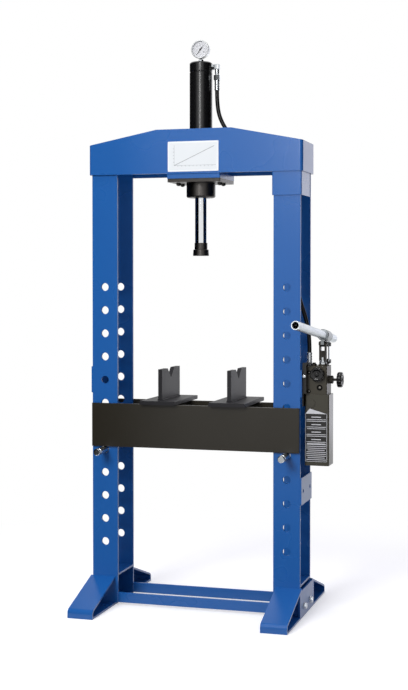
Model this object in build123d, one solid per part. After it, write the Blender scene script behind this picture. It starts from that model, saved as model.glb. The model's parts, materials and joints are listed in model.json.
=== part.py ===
from build123d import *
import math
import os

# A manual hydraulic workshop press: a welded frame of flat bars, a hand pump
# on its right column, a cylinder on the top beam and an adjustable table.
# Millimetres. X runs to the right, Y to the back, Z up. Every piece is built
# with X = 0 midway between the columns, Y = 0 on the front face of the front
# column bars and Z = 0 on the floor, and is moved to the part's origin at the end.

# Columns
clear_width = 510
bar_width = 85
bar_thickness = 8
bar_corner = 1.2
bar_top = 1458
column_depth = 152
base_plate_thickness = 6
hole_diameter = 25
hole_pitch = 74
hole_count = 12
top_hole_height = 1016
pin_hole_index = 7

# Top beam
cheek_thickness = 8
fold_radius = 10
beam_bottom = 1372
beam_end_top = 1466
beam_middle_top = 1510
beam_shoulder = 122

# Cylinder
cylinder_y = column_depth / 2
barrel_outer = 72
barrel_bore = 56
collar_diameter = 92
collar_bottom = 1299
collar_top = 1345
cap_bottom = 1697
cap_top = 1727
rod_diameter = 38
foot_bottom = 1115

# Pressure gauge
gauge_diameter = 58
gauge_depth = 26
gauge_height = 1767.5

# Table and its support pins
table_height = 137.9
table_plate = 10
table_half_length = 338
pin_diameter = 22
pin_front = -76
pin_back = 180

# Feet
foot_inner = 264
foot_outer = 346
toe_reach = 200
toe_line_height = 23
slope_line_top = 88
strip_thickness = 6

# Pump
pump_left = 347
block_width = 69
block_front = 32
block_back = 102
block_top = 774
tank_width = 76
tank_front = 30
tank_back = 104
tank_top = 686
tank_bottom = 467
lever_x = 398
lever_rise = 6.3
plunger_y = 62
clevis_pin_z = 842
fulcrum_y = 94
fulcrum_z = 838.5
link_foot_z = 786

# Fits
running_gap = 0.1
rest_gap = 0.3
bolt_gap = 0.2

half_clear = clear_width / 2
column_outer = half_clear + bar_width
bar_x = half_clear + bar_width / 2
rear_bar_front = column_depth - bar_thickness
pin_hole_z = top_hole_height - pin_hole_index * hole_pitch
pin_z = pin_hole_z - (hole_diameter - pin_diameter) / 2 + rest_gap
table_bottom = pin_z + pin_diameter / 2 + rest_gap
table_top = table_bottom + table_height
past_all = 2000


def block(x0, x1, y0, y1, z0, z1):
    """A box between two corners."""
    middle = ((x0 + x1) / 2, (y0 + y1) / 2, (z0 + z1) / 2)
    return Pos(*middle) * Box(x1 - x0, y1 - y0, z1 - z0)


def rod_z(x, y, z0, z1, diameter):
    return Pos(x, y, (z0 + z1) / 2) * Cylinder(diameter / 2, z1 - z0)


def rod_y(x, z, y0, y1, diameter):
    return Pos(x, (y0 + y1) / 2, z) * Rot(90, 0, 0) * Cylinder(diameter / 2, y1 - y0)


def rod_x(y, z, x0, x1, diameter):
    return Pos((x0 + x1) / 2, y, z) * Rot(0, 90, 0) * Cylinder(diameter / 2, x1 - x0)


def hexagon_z(x, y, z0, z1, across_flats):
    outline = RegularPolygon(across_flats / 2, 6, major_radius=False)
    return Pos(x, y, z0) * extrude(outline, z1 - z0)


def hexagon_x(y, z, x0, x1, across_flats):
    outline = RegularPolygon(across_flats / 2, 6, major_radius=False)
    return Pos(x0, y, z) * Rot(0, 90, 0) * extrude(outline, x1 - x0)


def turned(profile):
    """A solid of revolution about the Z axis from a list of (radius, height)."""
    return revolve(Plane.XZ * make_face(Polyline(*profile, close=True)), Axis.Z)


def on_cylinder_axis(profile):
    return Pos(0, cylinder_y, 0) * turned(profile)


def plate_yz(points, x0, x1):
    """A plate with its outline in (Y, Z), between two X values."""
    face = Plane.YZ * make_face(Polyline(*points, close=True))
    return Pos(x0, 0, 0) * extrude(face, x1 - x0)


def plate_xz(points, y0, y1):
    """A plate with its outline in (X, Z), between two Y values."""
    face = Plane.XZ * make_face(Polyline(*points, close=True))
    return Pos(0, y1, 0) * extrude(face, y1 - y0)


def one_solid(shape):
    return shape.solids()[0]


def group(pieces):
    """Separate solids that share one name."""
    return Compound([one_solid(piece) for piece in pieces])


def pair(maker):
    """The left and the right one of a piece."""
    return group([maker(side) for side in (-1, 1)])


def span(side, inner, outer):
    """The X range of a piece that lies between two distances from the middle."""
    return sorted((side * inner, side * outer))


def to_rear(shape):
    """The same piece on the other side of the press's middle plane."""
    return Pos(0, column_depth, 0) * mirror(shape, Plane.XZ)


# Columns
def column_bar(side, front):
    """One punched flat bar: side is -1 for the left column and 1 for the right."""
    y0 = 0 if front else rear_bar_front
    x0, x1 = span(side, half_clear, column_outer)
    bar = block(x0, x1, y0, y0 + bar_thickness, base_plate_thickness, bar_top)
    bar = fillet(bar.edges().filter_by(Axis.Z), bar_corner)
    for index in range(hole_count):
        height = top_hole_height - index * hole_pitch
        bar -= rod_y(side * bar_x, height, y0, y0 + bar_thickness, hole_diameter)
    return bar


# Plates on the outer sides of the columns
side_plate_thickness = 4
side_plate_inset = 1
side_plate_height = 84
upper_side_plate_middle = 720
lower_side_plate_middle = 388.5
mount_hole_diameter = 13
mount_hole_spacing = 97
pump_bolt_ys = (50, 86)
pump_bolt_z = 712
pump_bolt_diameter = 8


def column_side_plate(side, middle):
    """A plate from the front bar's edge to the rear bar's edge that carries a fitting."""
    x0, x1 = span(side, column_outer, column_outer + side_plate_thickness)
    z0 = middle - side_plate_height / 2
    y0, y1 = side_plate_inset, column_depth - side_plate_inset
    plate = block(x0, x1, y0, y1, z0, z0 + side_plate_height)
    return fillet(plate.edges().filter_by(Axis.X), 3)


def upper_side_plate(side):
    plate = column_side_plate(side, upper_side_plate_middle)
    for y in pump_bolt_ys:
        plate -= rod_x(y, pump_bolt_z, -past_all, past_all, pump_bolt_diameter + 2 * bolt_gap)
    return plate


def lower_mount_plate():
    """The plate with two holes, where an accessory is bolted to the press."""
    plate = column_side_plate(1, lower_side_plate_middle)
    for offset in (-mount_hole_spacing / 2, mount_hole_spacing / 2):
        y = column_depth / 2 + offset
        plate -= rod_x(y, lower_side_plate_middle, 0, past_all, mount_hole_diameter)
    return plate


# Folded cover under the right end of the beam
cover_thickness = 4
cover_bottom = 1299
cover_inner_leg = 44
cover_outer_leg = 116


def column_head_cover():
    """A folded sheet over the front and both sides of the right column's head."""
    x0 = half_clear - cover_thickness
    x1 = column_outer + cover_thickness
    y0 = -cover_thickness
    outline = [
        (x0, cover_inner_leg),
        (x0, y0),
        (x1, y0),
        (x1, cover_outer_leg),
        (column_outer, cover_outer_leg),
        (column_outer, 0),
        (half_clear, 0),
        (half_clear, cover_inner_leg),
    ]
    sheet = extrude(make_face(Polyline(*outline, close=True)), beam_bottom - cover_bottom)
    folds = [edge for edge in sheet.edges().filter_by(Axis.Z) if edge.center().Y < -1]
    return Pos(0, 0, cover_bottom) * fillet(folds, cover_thickness)


# Top beam
def cheek(front):
    """One side of the beam: a plate with both ends folded round the columns."""
    outer = column_outer + cheek_thickness
    outline = [
        (-outer, beam_bottom),
        (outer, beam_bottom),
        (outer, beam_end_top),
        (beam_shoulder, beam_middle_top),
        (-beam_shoulder, beam_middle_top),
        (-outer, beam_end_top),
    ]
    seam = column_depth / 2
    plate = plate_xz(outline, -cheek_thickness, seam)
    plate -= block(-column_outer, column_outer, 0, seam, 0, past_all)
    folds = [
        edge
        for edge in plate.edges().filter_by(Axis.Z)
        if edge.center().Y < -1 and abs(edge.center().X) > column_outer + 1
    ]
    plate = fillet(folds, fold_radius)
    return plate if front else to_rear(plate)


# Head plates that hold the cylinder under the beam
head_half_width = 86
head_plate_bottom = 1356
clamp_inset = 4
clamp_bolt_x = 68
clamp_bolt_y = 21
clamp_bolt_diameter = 8
clamp_nut_height = 6.5
clamp_bolt_tail = 2
m8_flats = 13


def clamp_bolt_places():
    return [(x, cylinder_y + y) for x in (-clamp_bolt_x, clamp_bolt_x) for y in (-clamp_bolt_y, clamp_bolt_y)]


def bored_plate(half_width, inset, z0, z1):
    """A plate under the beam with the cylinder's hole and four bolt holes."""
    y0 = -cheek_thickness + inset
    y1 = column_depth + cheek_thickness - inset
    plate = block(-half_width, half_width, y0, y1, z0, z1)
    plate = chamfer(plate.edges().filter_by(Axis.Z), 1.5)
    plate -= rod_z(0, cylinder_y, 0, past_all, barrel_outer + 1)
    for x, y in clamp_bolt_places():
        plate -= rod_z(x, y, 0, past_all, clamp_bolt_diameter + 2 * bolt_gap)
    return plate


def head_plate():
    return bored_plate(head_half_width, 0, head_plate_bottom, beam_bottom)


def clamp_plate():
    return bored_plate(head_half_width, clamp_inset, collar_top, head_plate_bottom)


def clamp_bolts():
    """Four screws down through both plates, each with its nut below."""
    pieces = []
    nut_bottom = collar_top - clamp_nut_height
    for x, y in clamp_bolt_places():
        bolt = rod_z(x, y, nut_bottom - clamp_bolt_tail, beam_bottom, clamp_bolt_diameter)
        bolt += hexagon_z(x, y, beam_bottom, beam_bottom + 5.3, m8_flats)
        nut = hexagon_z(x, y, nut_bottom, collar_top, m8_flats)
        nut -= rod_z(x, y, 0, past_all, clamp_bolt_diameter)
        pieces += [bolt, nut]
    return group(pieces)


# Feet
tie_plate_top = 100
foot_side_reach = 24
foot_lug_top = 62
foot_bolt_z = 31
foot_bolt_ys = (33, column_depth - 33)
foot_bolt_diameter = 10
foot_bolt_flats = 17
foot_washer_diameter = 20
toe_slope = (slope_line_top - toe_line_height) / (toe_reach - strip_thickness / 2)


def slope_underside(y):
    """Height of the underside of the front toe's slope at a place in front of the column."""
    half_drop = strip_thickness / 2 * math.sqrt(1 + toe_slope**2)
    return slope_line_top + toe_slope * y - half_drop


def foot_base(side):
    x0, x1 = span(side, foot_inner, foot_outer)
    y0 = -toe_reach + strip_thickness
    return block(x0, x1, y0, column_depth - y0, 0, base_plate_thickness)


def toe_strip(side, front):
    """A strip that slopes from the column to the toe and bends down to the floor."""
    x0, x1 = span(side, foot_inner, foot_outer)
    toe_y = -toe_reach + strip_thickness / 2
    past_face = 20
    line = FilletPolyline(
        (past_face, slope_line_top + toe_slope * past_face),
        (toe_y, toe_line_height),
        (toe_y, -past_face),
        radius=12,
    )
    strip = Pos(x0, 0, 0) * extrude(Plane.YZ * trace(line, strip_thickness), x1 - x0)
    strip &= block(x0, x1, -toe_reach, 0, 0, beam_bottom)
    return one_solid(strip if front else to_rear(strip))


def tie_plate(side):
    """A flat plate between the two bars, level with the top of the slopes."""
    x0, x1 = span(side, half_clear, column_outer)
    return block(x0, x1, bar_thickness, rear_bar_front, tie_plate_top - strip_thickness, tie_plate_top)


def foot_side_plate(side):
    """The outer plate of a foot, bolted to a lug inside it."""
    low = base_plate_thickness
    reach = foot_side_reach
    outline = [
        (-reach, low),
        (column_depth + reach, low),
        (column_depth + reach, slope_underside(-reach)),
        (column_depth, slope_underside(0)),
        (0, slope_underside(0)),
        (-reach, slope_underside(-reach)),
    ]
    x0, x1 = span(side, column_outer, foot_outer)
    plate = plate_yz(outline, x0, x1)
    for y in foot_bolt_ys:
        plate -= rod_x(y, foot_bolt_z, x0, x1, foot_bolt_diameter + 2 * bolt_gap)
    return plate


def foot_lug(side):
    """An upright inside the foot that takes the side plate's bolts."""
    x0, x1 = span(side, column_outer - strip_thickness, column_outer)
    lug = block(x0, x1, bar_thickness, rear_bar_front, base_plate_thickness, foot_lug_top)
    for y in foot_bolt_ys:
        lug -= rod_x(y, foot_bolt_z, x0, x1, foot_bolt_diameter + 2 * bolt_gap)
    return lug


def foot_bolts():
    """Bolt, washer and nut at each of the four places."""
    pieces = []
    seat = foot_outer + 2
    lug_face = column_outer - strip_thickness
    for side in (-1, 1):
        for y in foot_bolt_ys:
            washer = rod_x(y, foot_bolt_z, *span(side, foot_outer, seat), foot_washer_diameter)
            washer -= rod_x(y, foot_bolt_z, *span(side, foot_outer, seat), foot_bolt_diameter)
            bolt = hexagon_x(y, foot_bolt_z, *span(side, seat, seat + 6.4), foot_bolt_flats)
            bolt += rod_x(y, foot_bolt_z, *span(side, lug_face - 12, seat), foot_bolt_diameter)
            nut = hexagon_x(y, foot_bolt_z, *span(side, lug_face - 8, lug_face), foot_bolt_flats)
            nut -= rod_x(y, foot_bolt_z, *span(side, lug_face - 8, lug_face), foot_bolt_diameter)
            pieces += [washer, bolt, nut]
    return group(pieces)


cross_bar_bottom = 8
cross_bar_top = 40


def cross_bars():
    """Two flat bars on edge between the columns, near the floor."""
    bars = []
    for y0 in (0, rear_bar_front):
        bar = block(-half_clear, half_clear, y0, y0 + bar_thickness, cross_bar_bottom, cross_bar_top)
        bars.append(fillet(bar.edges().filter_by(Axis.X), bar_corner))
    return group(bars)


# Chart plate on the beam
chart_thickness = 1.5


def chart_plate():
    plate = block(-83, 82, -cheek_thickness - chart_thickness, -cheek_thickness, 1377, 1471)
    return fillet(plate.edges().filter_by(Axis.Y), 2)


# Cylinder
barrel_foot = 1320
shoulder_diameter = 84
shoulder_height = 8
spigot_depth = 12
port_z = 1711
port_diameter = 13
port_depth = 14
oil_way = 6
edge_break = 1.5


def cylinder_barrel():
    outer = barrel_outer / 2
    bore = barrel_bore / 2
    shoulder = shoulder_diameter / 2
    return on_cylinder_axis([
        (bore, barrel_foot),
        (outer, barrel_foot),
        (outer, beam_bottom),
        (shoulder, beam_bottom),
        (shoulder, beam_bottom + shoulder_height - edge_break),
        (shoulder - edge_break, beam_bottom + shoulder_height),
        (outer, beam_bottom + shoulder_height),
        (outer, cap_bottom - 3),
        (outer - edge_break, cap_bottom - edge_break),
        (outer - edge_break, cap_bottom),
        (bore, cap_bottom),
    ])


def cylinder_cap():
    """The closed head of the cylinder, with the gauge's port on top and the oil port at the side."""
    outer = barrel_outer / 2
    spigot = barrel_bore / 2 - running_gap / 2
    cap = on_cylinder_axis([
        (0, cap_bottom - spigot_depth),
        (spigot, cap_bottom - spigot_depth),
        (spigot, cap_bottom),
        (outer - edge_break, cap_bottom),
        (outer, cap_bottom + edge_break),
        (outer, cap_top - 4),
        (outer - 4, cap_top),
        (0, cap_top),
    ])
    cap -= rod_z(0, cylinder_y, cap_top - port_depth, cap_top, port_diameter)
    cap -= rod_z(0, cylinder_y, 0, cap_top, oil_way)
    cap -= rod_x(cylinder_y, port_z, outer - port_depth, outer, port_diameter)
    cap -= rod_x(cylinder_y, port_z, 0, outer, oil_way)
    return one_solid(cap)


collar_corner = 6
wiper_height = 6
wiper_width = 5


def cylinder_collar():
    """The screwed collar that clamps the cylinder and guides its rod."""
    outer = collar_diameter / 2
    guide = rod_diameter / 2 + running_gap
    collar = on_cylinder_axis([
        (guide + wiper_width, collar_bottom),
        (outer, collar_bottom),
        (outer, collar_top),
        (barrel_outer / 2, collar_top),
        (barrel_outer / 2, barrel_foot),
        (guide, barrel_foot),
        (guide, collar_bottom + wiper_height),
        (guide + wiper_width, collar_bottom + wiper_height),
    ])
    circles = collar.edges().filter_by(GeomType.CIRCLE)
    rim = [edge for edge in circles if edge.radius > outer - 1 and edge.center().Z < collar_bottom + 1]
    return fillet(rim, collar_corner)


def wiper_ring():
    inner = rod_diameter / 2 + running_gap
    outer = rod_diameter / 2 + running_gap + wiper_width
    top = collar_bottom + wiper_height
    lip = collar_bottom + 1
    return on_cylinder_axis([(inner, lip), (inner + 2, lip), (outer, lip + 2), (outer, top), (inner, top)])


piston_bottom = 1507
piston_height = 34
piston_radius = barrel_bore / 2 - running_gap
seal_height = 7
seal_depth = 5
spigot_diameter = 20
spigot_length = 14
rod_bottom = 1135
sleeve_top = 1156
sleeve_wall = 1.5


def piston():
    hub = spigot_diameter / 2
    middle = piston_bottom + piston_height / 2
    groove = piston_radius - seal_depth
    top = piston_bottom + piston_height
    return on_cylinder_axis([
        (hub, piston_bottom),
        (piston_radius - 1, piston_bottom),
        (piston_radius, piston_bottom + 1),
        (piston_radius, middle - seal_height / 2),
        (groove, middle - seal_height / 2),
        (groove, middle + seal_height / 2),
        (piston_radius, middle + seal_height / 2),
        (piston_radius, top - 1),
        (piston_radius - 1, top),
        (hub, top),
    ])


def piston_seal():
    low = piston_bottom + piston_height / 2 - seal_height / 2
    high = low + seal_height
    groove = piston_radius - seal_depth
    return on_cylinder_axis([(groove, low), (piston_radius, low), (piston_radius, high), (groove, high)])


def piston_rod():
    radius = rod_diameter / 2
    spigot = spigot_diameter / 2
    return on_cylinder_axis([
        (0, rod_bottom - spigot_length),
        (spigot, rod_bottom - spigot_length),
        (spigot, rod_bottom),
        (radius, rod_bottom),
        (radius, piston_bottom),
        (spigot, piston_bottom),
        (spigot, piston_bottom + piston_height),
        (0, piston_bottom + piston_height),
    ])


def rod_sleeve():
    inner = rod_diameter / 2
    outer = inner + sleeve_wall
    return on_cylinder_axis([(inner, rod_bottom), (outer, rod_bottom), (outer, sleeve_top), (inner, sleeve_top)])


pressing_foot_top = 49
pressing_foot_face = 51


def pressing_foot():
    """The slightly tapered pressing piece on the end of the rod."""
    face = pressing_foot_face / 2
    top = pressing_foot_top / 2
    spigot = spigot_diameter / 2
    return on_cylinder_axis([
        (0, foot_bottom),
        (face - 1, foot_bottom),
        (face, foot_bottom + 1),
        (top, rod_bottom - 1),
        (top - 1, rod_bottom),
        (spigot, rod_bottom),
        (spigot, rod_bottom - spigot_length),
        (0, rod_bottom - spigot_length),
    ])


spring_wire = 4
spring_radius = 23.6
spring_turns = 9


def return_spring():
    """The coil between the cylinder's foot and its piston, which lifts the rod."""
    low = barrel_foot + spring_wire / 2 + rest_gap
    height = piston_bottom - spring_wire / 2 - rest_gap - low
    coil = Helix(height / spring_turns, height, spring_radius)
    section = Plane(origin=coil @ 0, z_dir=coil % 0) * Circle(spring_wire / 2)
    return Pos(0, cylinder_y, low) * one_solid(sweep(section, path=coil, is_frenet=True))


# Pressure gauge
stem_flats = 14
stem_hex_height = 9
gauge_front = cylinder_y - gauge_depth / 2
bezel_width = 3
dial_depth = 7
needle_length = 18
needle_angle = 38
needle_spindle = 2


def gauge_stem():
    """The threaded stem with its hexagon, hollowed at the top to take the round case."""
    case_bottom = gauge_height - gauge_diameter / 2
    stem = rod_z(0, cylinder_y, cap_top - port_depth + 2, cap_top, port_diameter)
    stem += hexagon_z(0, cylinder_y, cap_top, cap_top + stem_hex_height, stem_flats)
    stem += rod_z(0, cylinder_y, cap_top + stem_hex_height, case_bottom + 4, 10)
    stem -= rod_y(0, gauge_height, 0, column_depth, gauge_diameter - 3)
    return one_solid(stem)


def gauge_turned(profile):
    """A solid of revolution about the gauge's own axis, from (radius, depth from its front)."""
    face = make_face(Polyline(*profile, close=True))
    return Pos(0, gauge_front, gauge_height) * revolve(face, Axis.Y)


def gauge_case():
    outer = gauge_diameter / 2
    body = outer - 1.5
    well = outer - bezel_width
    return gauge_turned([
        (0, gauge_depth),
        (body - 4, gauge_depth),
        (body, gauge_depth - 4),
        (body, 8),
        (outer, 8),
        (outer, 1.5),
        (outer - 1.5, 0),
        (well, 0),
        (well, dial_depth + 1),
        (0, dial_depth + 1),
    ])


def gauge_dial():
    outer = gauge_diameter / 2 - bezel_width
    hole = needle_spindle / 2 + running_gap
    return gauge_turned([(hole, dial_depth), (outer, dial_depth), (outer, dial_depth + 1), (hole, dial_depth + 1)])


def gauge_glass():
    outer = gauge_diameter / 2 - bezel_width
    return gauge_turned([(0, 1), (outer, 1), (outer, 2.5), (0, 2.5)])


def gauge_needle():
    """A thin pointer with a hub and a short tail, on its spindle."""
    back = gauge_front + dial_depth - 1
    blade = plate_xz([(-1.6, 9), (1.6, 9), (0.5, -needle_length), (-0.5, -needle_length)], back - 0.8, back)
    needle = blade + rod_y(0, 0, back - 2, back, 6)
    needle += rod_y(0, 0, back, gauge_front + dial_depth + 1, needle_spindle)
    return one_solid(Pos(0, 0, gauge_height) * Rot(0, needle_angle, 0) * needle)


# Hose and its fittings
hose_diameter = 13
hose_route = [
    (53, 76, 1637),
    (53, 76, 1590),
    (65, 76.5, 1541),
    (96, 77, 1494),
    (150, 77.5, 1453),
    (213, 78, 1424),
    (262, 78.5, 1378),
    (288, 78, 1306),
    (296, 77, 1222),
    (297, 75, 1136),
    (305, 71, 1056),
    (321, 67, 984),
    (343, 63, 922),
    (356, 60, 866),
    (356, 60, 814),
]
ferrule_diameter = 16.5
ferrule_length = 33
elbow_bend = 9
elbow_tube = 11
hose_nut_height = 15
hose_nut_flats = 19
pump_nut_flats = 17


def hose_radii():
    """For each corner, the largest arc that its two runs allow."""
    points = [Vector(*point) for point in hose_route]
    radii = []
    for before, corner, after in zip(points, points[1:], points[2:]):
        run_in = corner - before
        run_out = after - corner
        half_turn = math.radians(run_in.get_angle(run_out)) / 2
        shorter = min(run_in.length, run_out.length)
        radii.append(0.45 * shorter / math.tan(half_turn))
    return radii


def tube_along(path, diameter):
    return sweep(Plane(origin=path @ 0, z_dir=path % 0) * Circle(diameter / 2), path=path)


def hose_path():
    return FilletPolyline(*hose_route, radius=hose_radii())


def hose():
    return tube_along(hose_path(), hose_diameter)


def hose_ferrules():
    """The crimped end of the hose at the cylinder, and the one at the pump with its nut."""
    top = hose_route[0]
    end = hose_route[-1]
    upper = rod_z(top[0], top[1], top[2], top[2] + ferrule_length, ferrule_diameter)
    lower = rod_z(end[0], end[1], end[2] - ferrule_length, end[2], ferrule_diameter)
    upper = chamfer(upper.edges().filter_by(GeomType.CIRCLE), 1)
    lower = chamfer(lower.edges().filter_by(GeomType.CIRCLE), 1)
    nut = hexagon_z(0, 0, block_top, end[2] - ferrule_length + 1, pump_nut_flats)
    lower += Pos(end[0], end[1], 0) * Rot(0, 0, 30) * nut
    return group([upper, lower])


def elbow_fitting():
    """From the cap's side port the fitting turns down to the hose's nut."""
    x0 = barrel_outer / 2
    x1 = hose_route[0][0]
    nut_low = hose_route[0][2] + ferrule_length
    nut_high = nut_low + hose_nut_height
    path = FilletPolyline(
        (x0 + 4, cylinder_y, port_z),
        (x1, cylinder_y, port_z),
        (x1, cylinder_y, nut_high - 2),
        radius=elbow_bend,
    )
    fitting = tube_along(path, elbow_tube)
    fitting += hexagon_x(cylinder_y, port_z, x0, x0 + 7, 17)
    fitting += rod_x(cylinder_y, port_z, x0 - port_depth + 2, x0, port_diameter)
    fitting += hexagon_z(x1, cylinder_y, nut_low, nut_high, hose_nut_flats)
    return one_solid(fitting)


# Pump
block_right = pump_left + block_width
boss_height = 4
plunger_diameter = 16
bore_bottom = 738
spindle_diameter = 8
front_knob_x = 388
front_knob_z = 749
side_knob_y = 66
side_knob_z = 731
front_screw_places = [(360, 754), (360, 696)]
front_screw_diameter = 9
plug_place = (393.5, 708)
plug_diameter = 14
filler_place = (374, 46)
socket_depth = 7
lower_pin = 8
link_gap = 22.6
link_thickness = 4
link_width = 17


def link_span():
    """X range between the two links, less a little play."""
    half = link_gap / 2 - rest_gap
    return lever_x - half, lever_x + half


def pump_block():
    """The machined block that holds the plunger and both valves, with the links' ear on top."""
    body = block(pump_left, block_right, block_front, block_back, tank_top, block_top)
    body = chamfer(body.edges().filter_by(Axis.Z), 2)
    body += rod_z(lever_x, plunger_y, block_top, block_top + boss_height, 28)
    x0, x1 = link_span()
    body += block(x0, x1, fulcrum_y - link_width / 2, block_back, block_top, link_foot_z)
    body += rod_x(fulcrum_y, link_foot_z, x0, x1, link_width - 1)
    body -= rod_x(fulcrum_y, link_foot_z, x0, x1, lower_pin + 2 * running_gap)
    body -= rod_z(lever_x, plunger_y, bore_bottom, block_top + boss_height, plunger_diameter + 2 * running_gap)
    knob_hole = spindle_diameter + 2 * running_gap
    body -= rod_y(front_knob_x, front_knob_z, block_front, block_front + 16, knob_hole)
    body -= rod_x(side_knob_y, side_knob_z, block_right - 18, block_right, knob_hole)
    for x, z in front_screw_places:
        body -= rod_y(x, z, block_front, block_front + socket_depth, front_screw_diameter)
    body -= rod_y(*plug_place, block_front, block_front + socket_depth, plug_diameter)
    body -= rod_z(*filler_place, block_top - 10, block_top, 10)
    for y in pump_bolt_ys:
        body -= rod_x(y, pump_bolt_z, pump_left, pump_left + 14, pump_bolt_diameter)
    return one_solid(body)


def reservoir():
    """The oil tank: a closed sheet-metal box with rounded upright corners."""
    wall = 3
    x1 = pump_left + tank_width
    tank = block(pump_left, x1, tank_front, tank_back, tank_bottom, tank_top)
    tank = fillet(tank.edges().filter_by(Axis.Z), 6)
    inside = block(
        pump_left + wall, x1 - wall, tank_front + wall, tank_back - wall, tank_bottom + wall, tank_top - wall
    )
    tank -= fillet(inside.edges().filter_by(Axis.Z), 3)
    tank += rod_y(367, 660, tank_front - 1.5, tank_front, 24)
    return one_solid(tank)


bracket_thickness = 3
bracket_bottom = 650
bracket_top = 784
bracket_front = 12
bracket_back = 132
flange_screw_place = (350, 742)
flange_screw_diameter = 6


def pump_bracket():
    """A folded sheet between the side plate and the pump, with a front and a top flange."""
    x0 = column_outer + side_plate_thickness
    inner_y = bracket_front + bracket_thickness
    bracket = block(x0, pump_left, bracket_front, bracket_back, bracket_bottom, bracket_top)
    bracket += block(x0, 356, bracket_front, inner_y, 690, bracket_top)
    bracket += block(x0, 366, bracket_front, 44, bracket_top - bracket_thickness, bracket_top)
    bracket -= rod_y(*flange_screw_place, bracket_front, inner_y, flange_screw_diameter)
    for y in pump_bolt_ys:
        bracket -= rod_x(y, pump_bolt_z, x0, pump_left, pump_bolt_diameter + 2 * bolt_gap)
    return one_solid(bracket)


def pump_screws():
    """The screws and the plug on the pump's front, and the bolts that hold it to the column."""
    pieces = []
    deep = block_front + socket_depth
    for x, z in front_screw_places:
        screw = rod_y(x, z, block_front - 1.5, deep, front_screw_diameter)
        screw -= rod_y(x, z, block_front - 1.5, block_front + 2, 4)
        pieces.append(screw)
    plug = rod_y(*plug_place, block_front, deep, plug_diameter)
    plug -= rod_y(*plug_place, block_front, block_front + 3, 6)
    head = rod_y(*flange_screw_place, bracket_front - 5, bracket_front, 12)
    head = chamfer(head.faces().sort_by(Axis.Y)[0].edges(), 1.5)
    head += rod_y(*flange_screw_place, bracket_front, bracket_front + 5, flange_screw_diameter)
    pieces += [plug, head]
    for y in pump_bolt_ys:
        bolt = rod_x(y, pump_bolt_z, column_outer, pump_left + 13, pump_bolt_diameter)
        bolt += hexagon_x(y, pump_bolt_z, column_outer - 5.3, column_outer, m8_flats)
        pieces.append(bolt)
    return group(pieces)


def filler_plug():
    plug = rod_z(*filler_place, block_top - 9, block_top + 10, 10)
    plug += hexagon_z(*filler_place, block_top, block_top + 6, 14)
    return one_solid(plug)


gland_length = 14


def side_gland():
    """The hexagonal gland that the side valve's spindle turns in."""
    x1 = block_right + gland_length
    gland = hexagon_x(side_knob_y, side_knob_z, block_right, x1, 22)
    gland &= chamfer(rod_x(side_knob_y, side_knob_z, block_right, x1, 25).edges().sort_by(Axis.X)[-1], 2)
    gland -= rod_x(side_knob_y, side_knob_z, block_right, x1, spindle_diameter + 2 * running_gap)
    return one_solid(gland)


side_knob_diameter = 48
side_knob_thickness = 17
side_knob_start = block_right + 27
knob_flutes = 8
flute_diameter = 10
front_knob_diameter = 45
front_knob_thickness = 16
front_knob_start = block_front - 3


def hand_knob(diameter, thickness):
    """A hand knob that faces up, dished round a raised middle, with finger grooves round its rim."""
    radius = diameter / 2
    dish = thickness - 3
    knob = turned([
        (0, 0),
        (radius - 3, 0),
        (radius, 3),
        (radius, dish - 2),
        (radius - 3, thickness - 1),
        (radius - 6, thickness - 1),
        (radius - 10, dish),
        (7, dish),
        (5, thickness),
        (0, thickness),
    ])
    reach = radius + 2.5
    for index in range(knob_flutes):
        angle = 2 * math.pi * index / knob_flutes
        knob -= rod_z(reach * math.cos(angle), reach * math.sin(angle), 0, thickness, flute_diameter)
    return knob


def side_knob():
    """The release valve's knob, on its spindle along X."""
    knob = hand_knob(side_knob_diameter, side_knob_thickness)
    knob = Pos(side_knob_start, side_knob_y, side_knob_z) * Rot(0, 90, 0) * knob
    knob += rod_x(side_knob_y, side_knob_z, block_right - 16, side_knob_start + 1, spindle_diameter)
    return one_solid(knob)


def front_knob():
    """The valve knob on the pump's front, on its spindle along Y."""
    knob = Rot(90, 0, 0) * hand_knob(front_knob_diameter, front_knob_thickness)
    knob = Pos(front_knob_x, front_knob_start, front_knob_z) * knob
    knob += rod_y(front_knob_x, front_knob_z, front_knob_start - 1, block_front + 14, spindle_diameter)
    return one_solid(knob)


# Lever, links and plunger of the pump
clevis_bottom = 790
clevis_width = 22
clevis_depth = 15
clevis_slot = 12
clevis_slot_bottom = 820
clevis_grip = 10
clevis_pin_diameter = 8
lug_thickness = 10
pin_play = 0.9
pin_slide = 1.8


def plunger():
    return rod_z(lever_x, plunger_y, bore_bottom + 6, clevis_bottom + clevis_grip, plunger_diameter)


def clevis():
    """The fork on the plunger that holds the lever's lug between its two cheeks."""
    half = clevis_width / 2
    x0 = lever_x - half
    x1 = lever_x + half
    half_depth = clevis_depth / 2
    fork = block(x0, x1, plunger_y - half_depth, plunger_y + half_depth, clevis_bottom, clevis_pin_z)
    fork += rod_x(plunger_y, clevis_pin_z, x0, x1, clevis_depth)
    slot = clevis_slot / 2
    fork -= block(lever_x - slot, lever_x + slot, 0, column_depth, clevis_slot_bottom, clevis_pin_z + clevis_depth)
    fork -= rod_z(lever_x, plunger_y, clevis_bottom, clevis_bottom + clevis_grip, plunger_diameter)
    fork -= rod_x(plunger_y, clevis_pin_z, x0, x1, clevis_pin_diameter)
    return one_solid(fork)


def clevis_pin():
    """The cross pin of the fork, with a thin head at each end."""
    half = clevis_width / 2
    pin = rod_x(plunger_y, clevis_pin_z, lever_x - half, lever_x + half, clevis_pin_diameter)
    pin += rod_x(plunger_y, clevis_pin_z, lever_x - half - 2, lever_x - half, 11)
    pin += rod_x(plunger_y, clevis_pin_z, lever_x + half, lever_x + half + 2, 11)
    return one_solid(pin)


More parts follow.
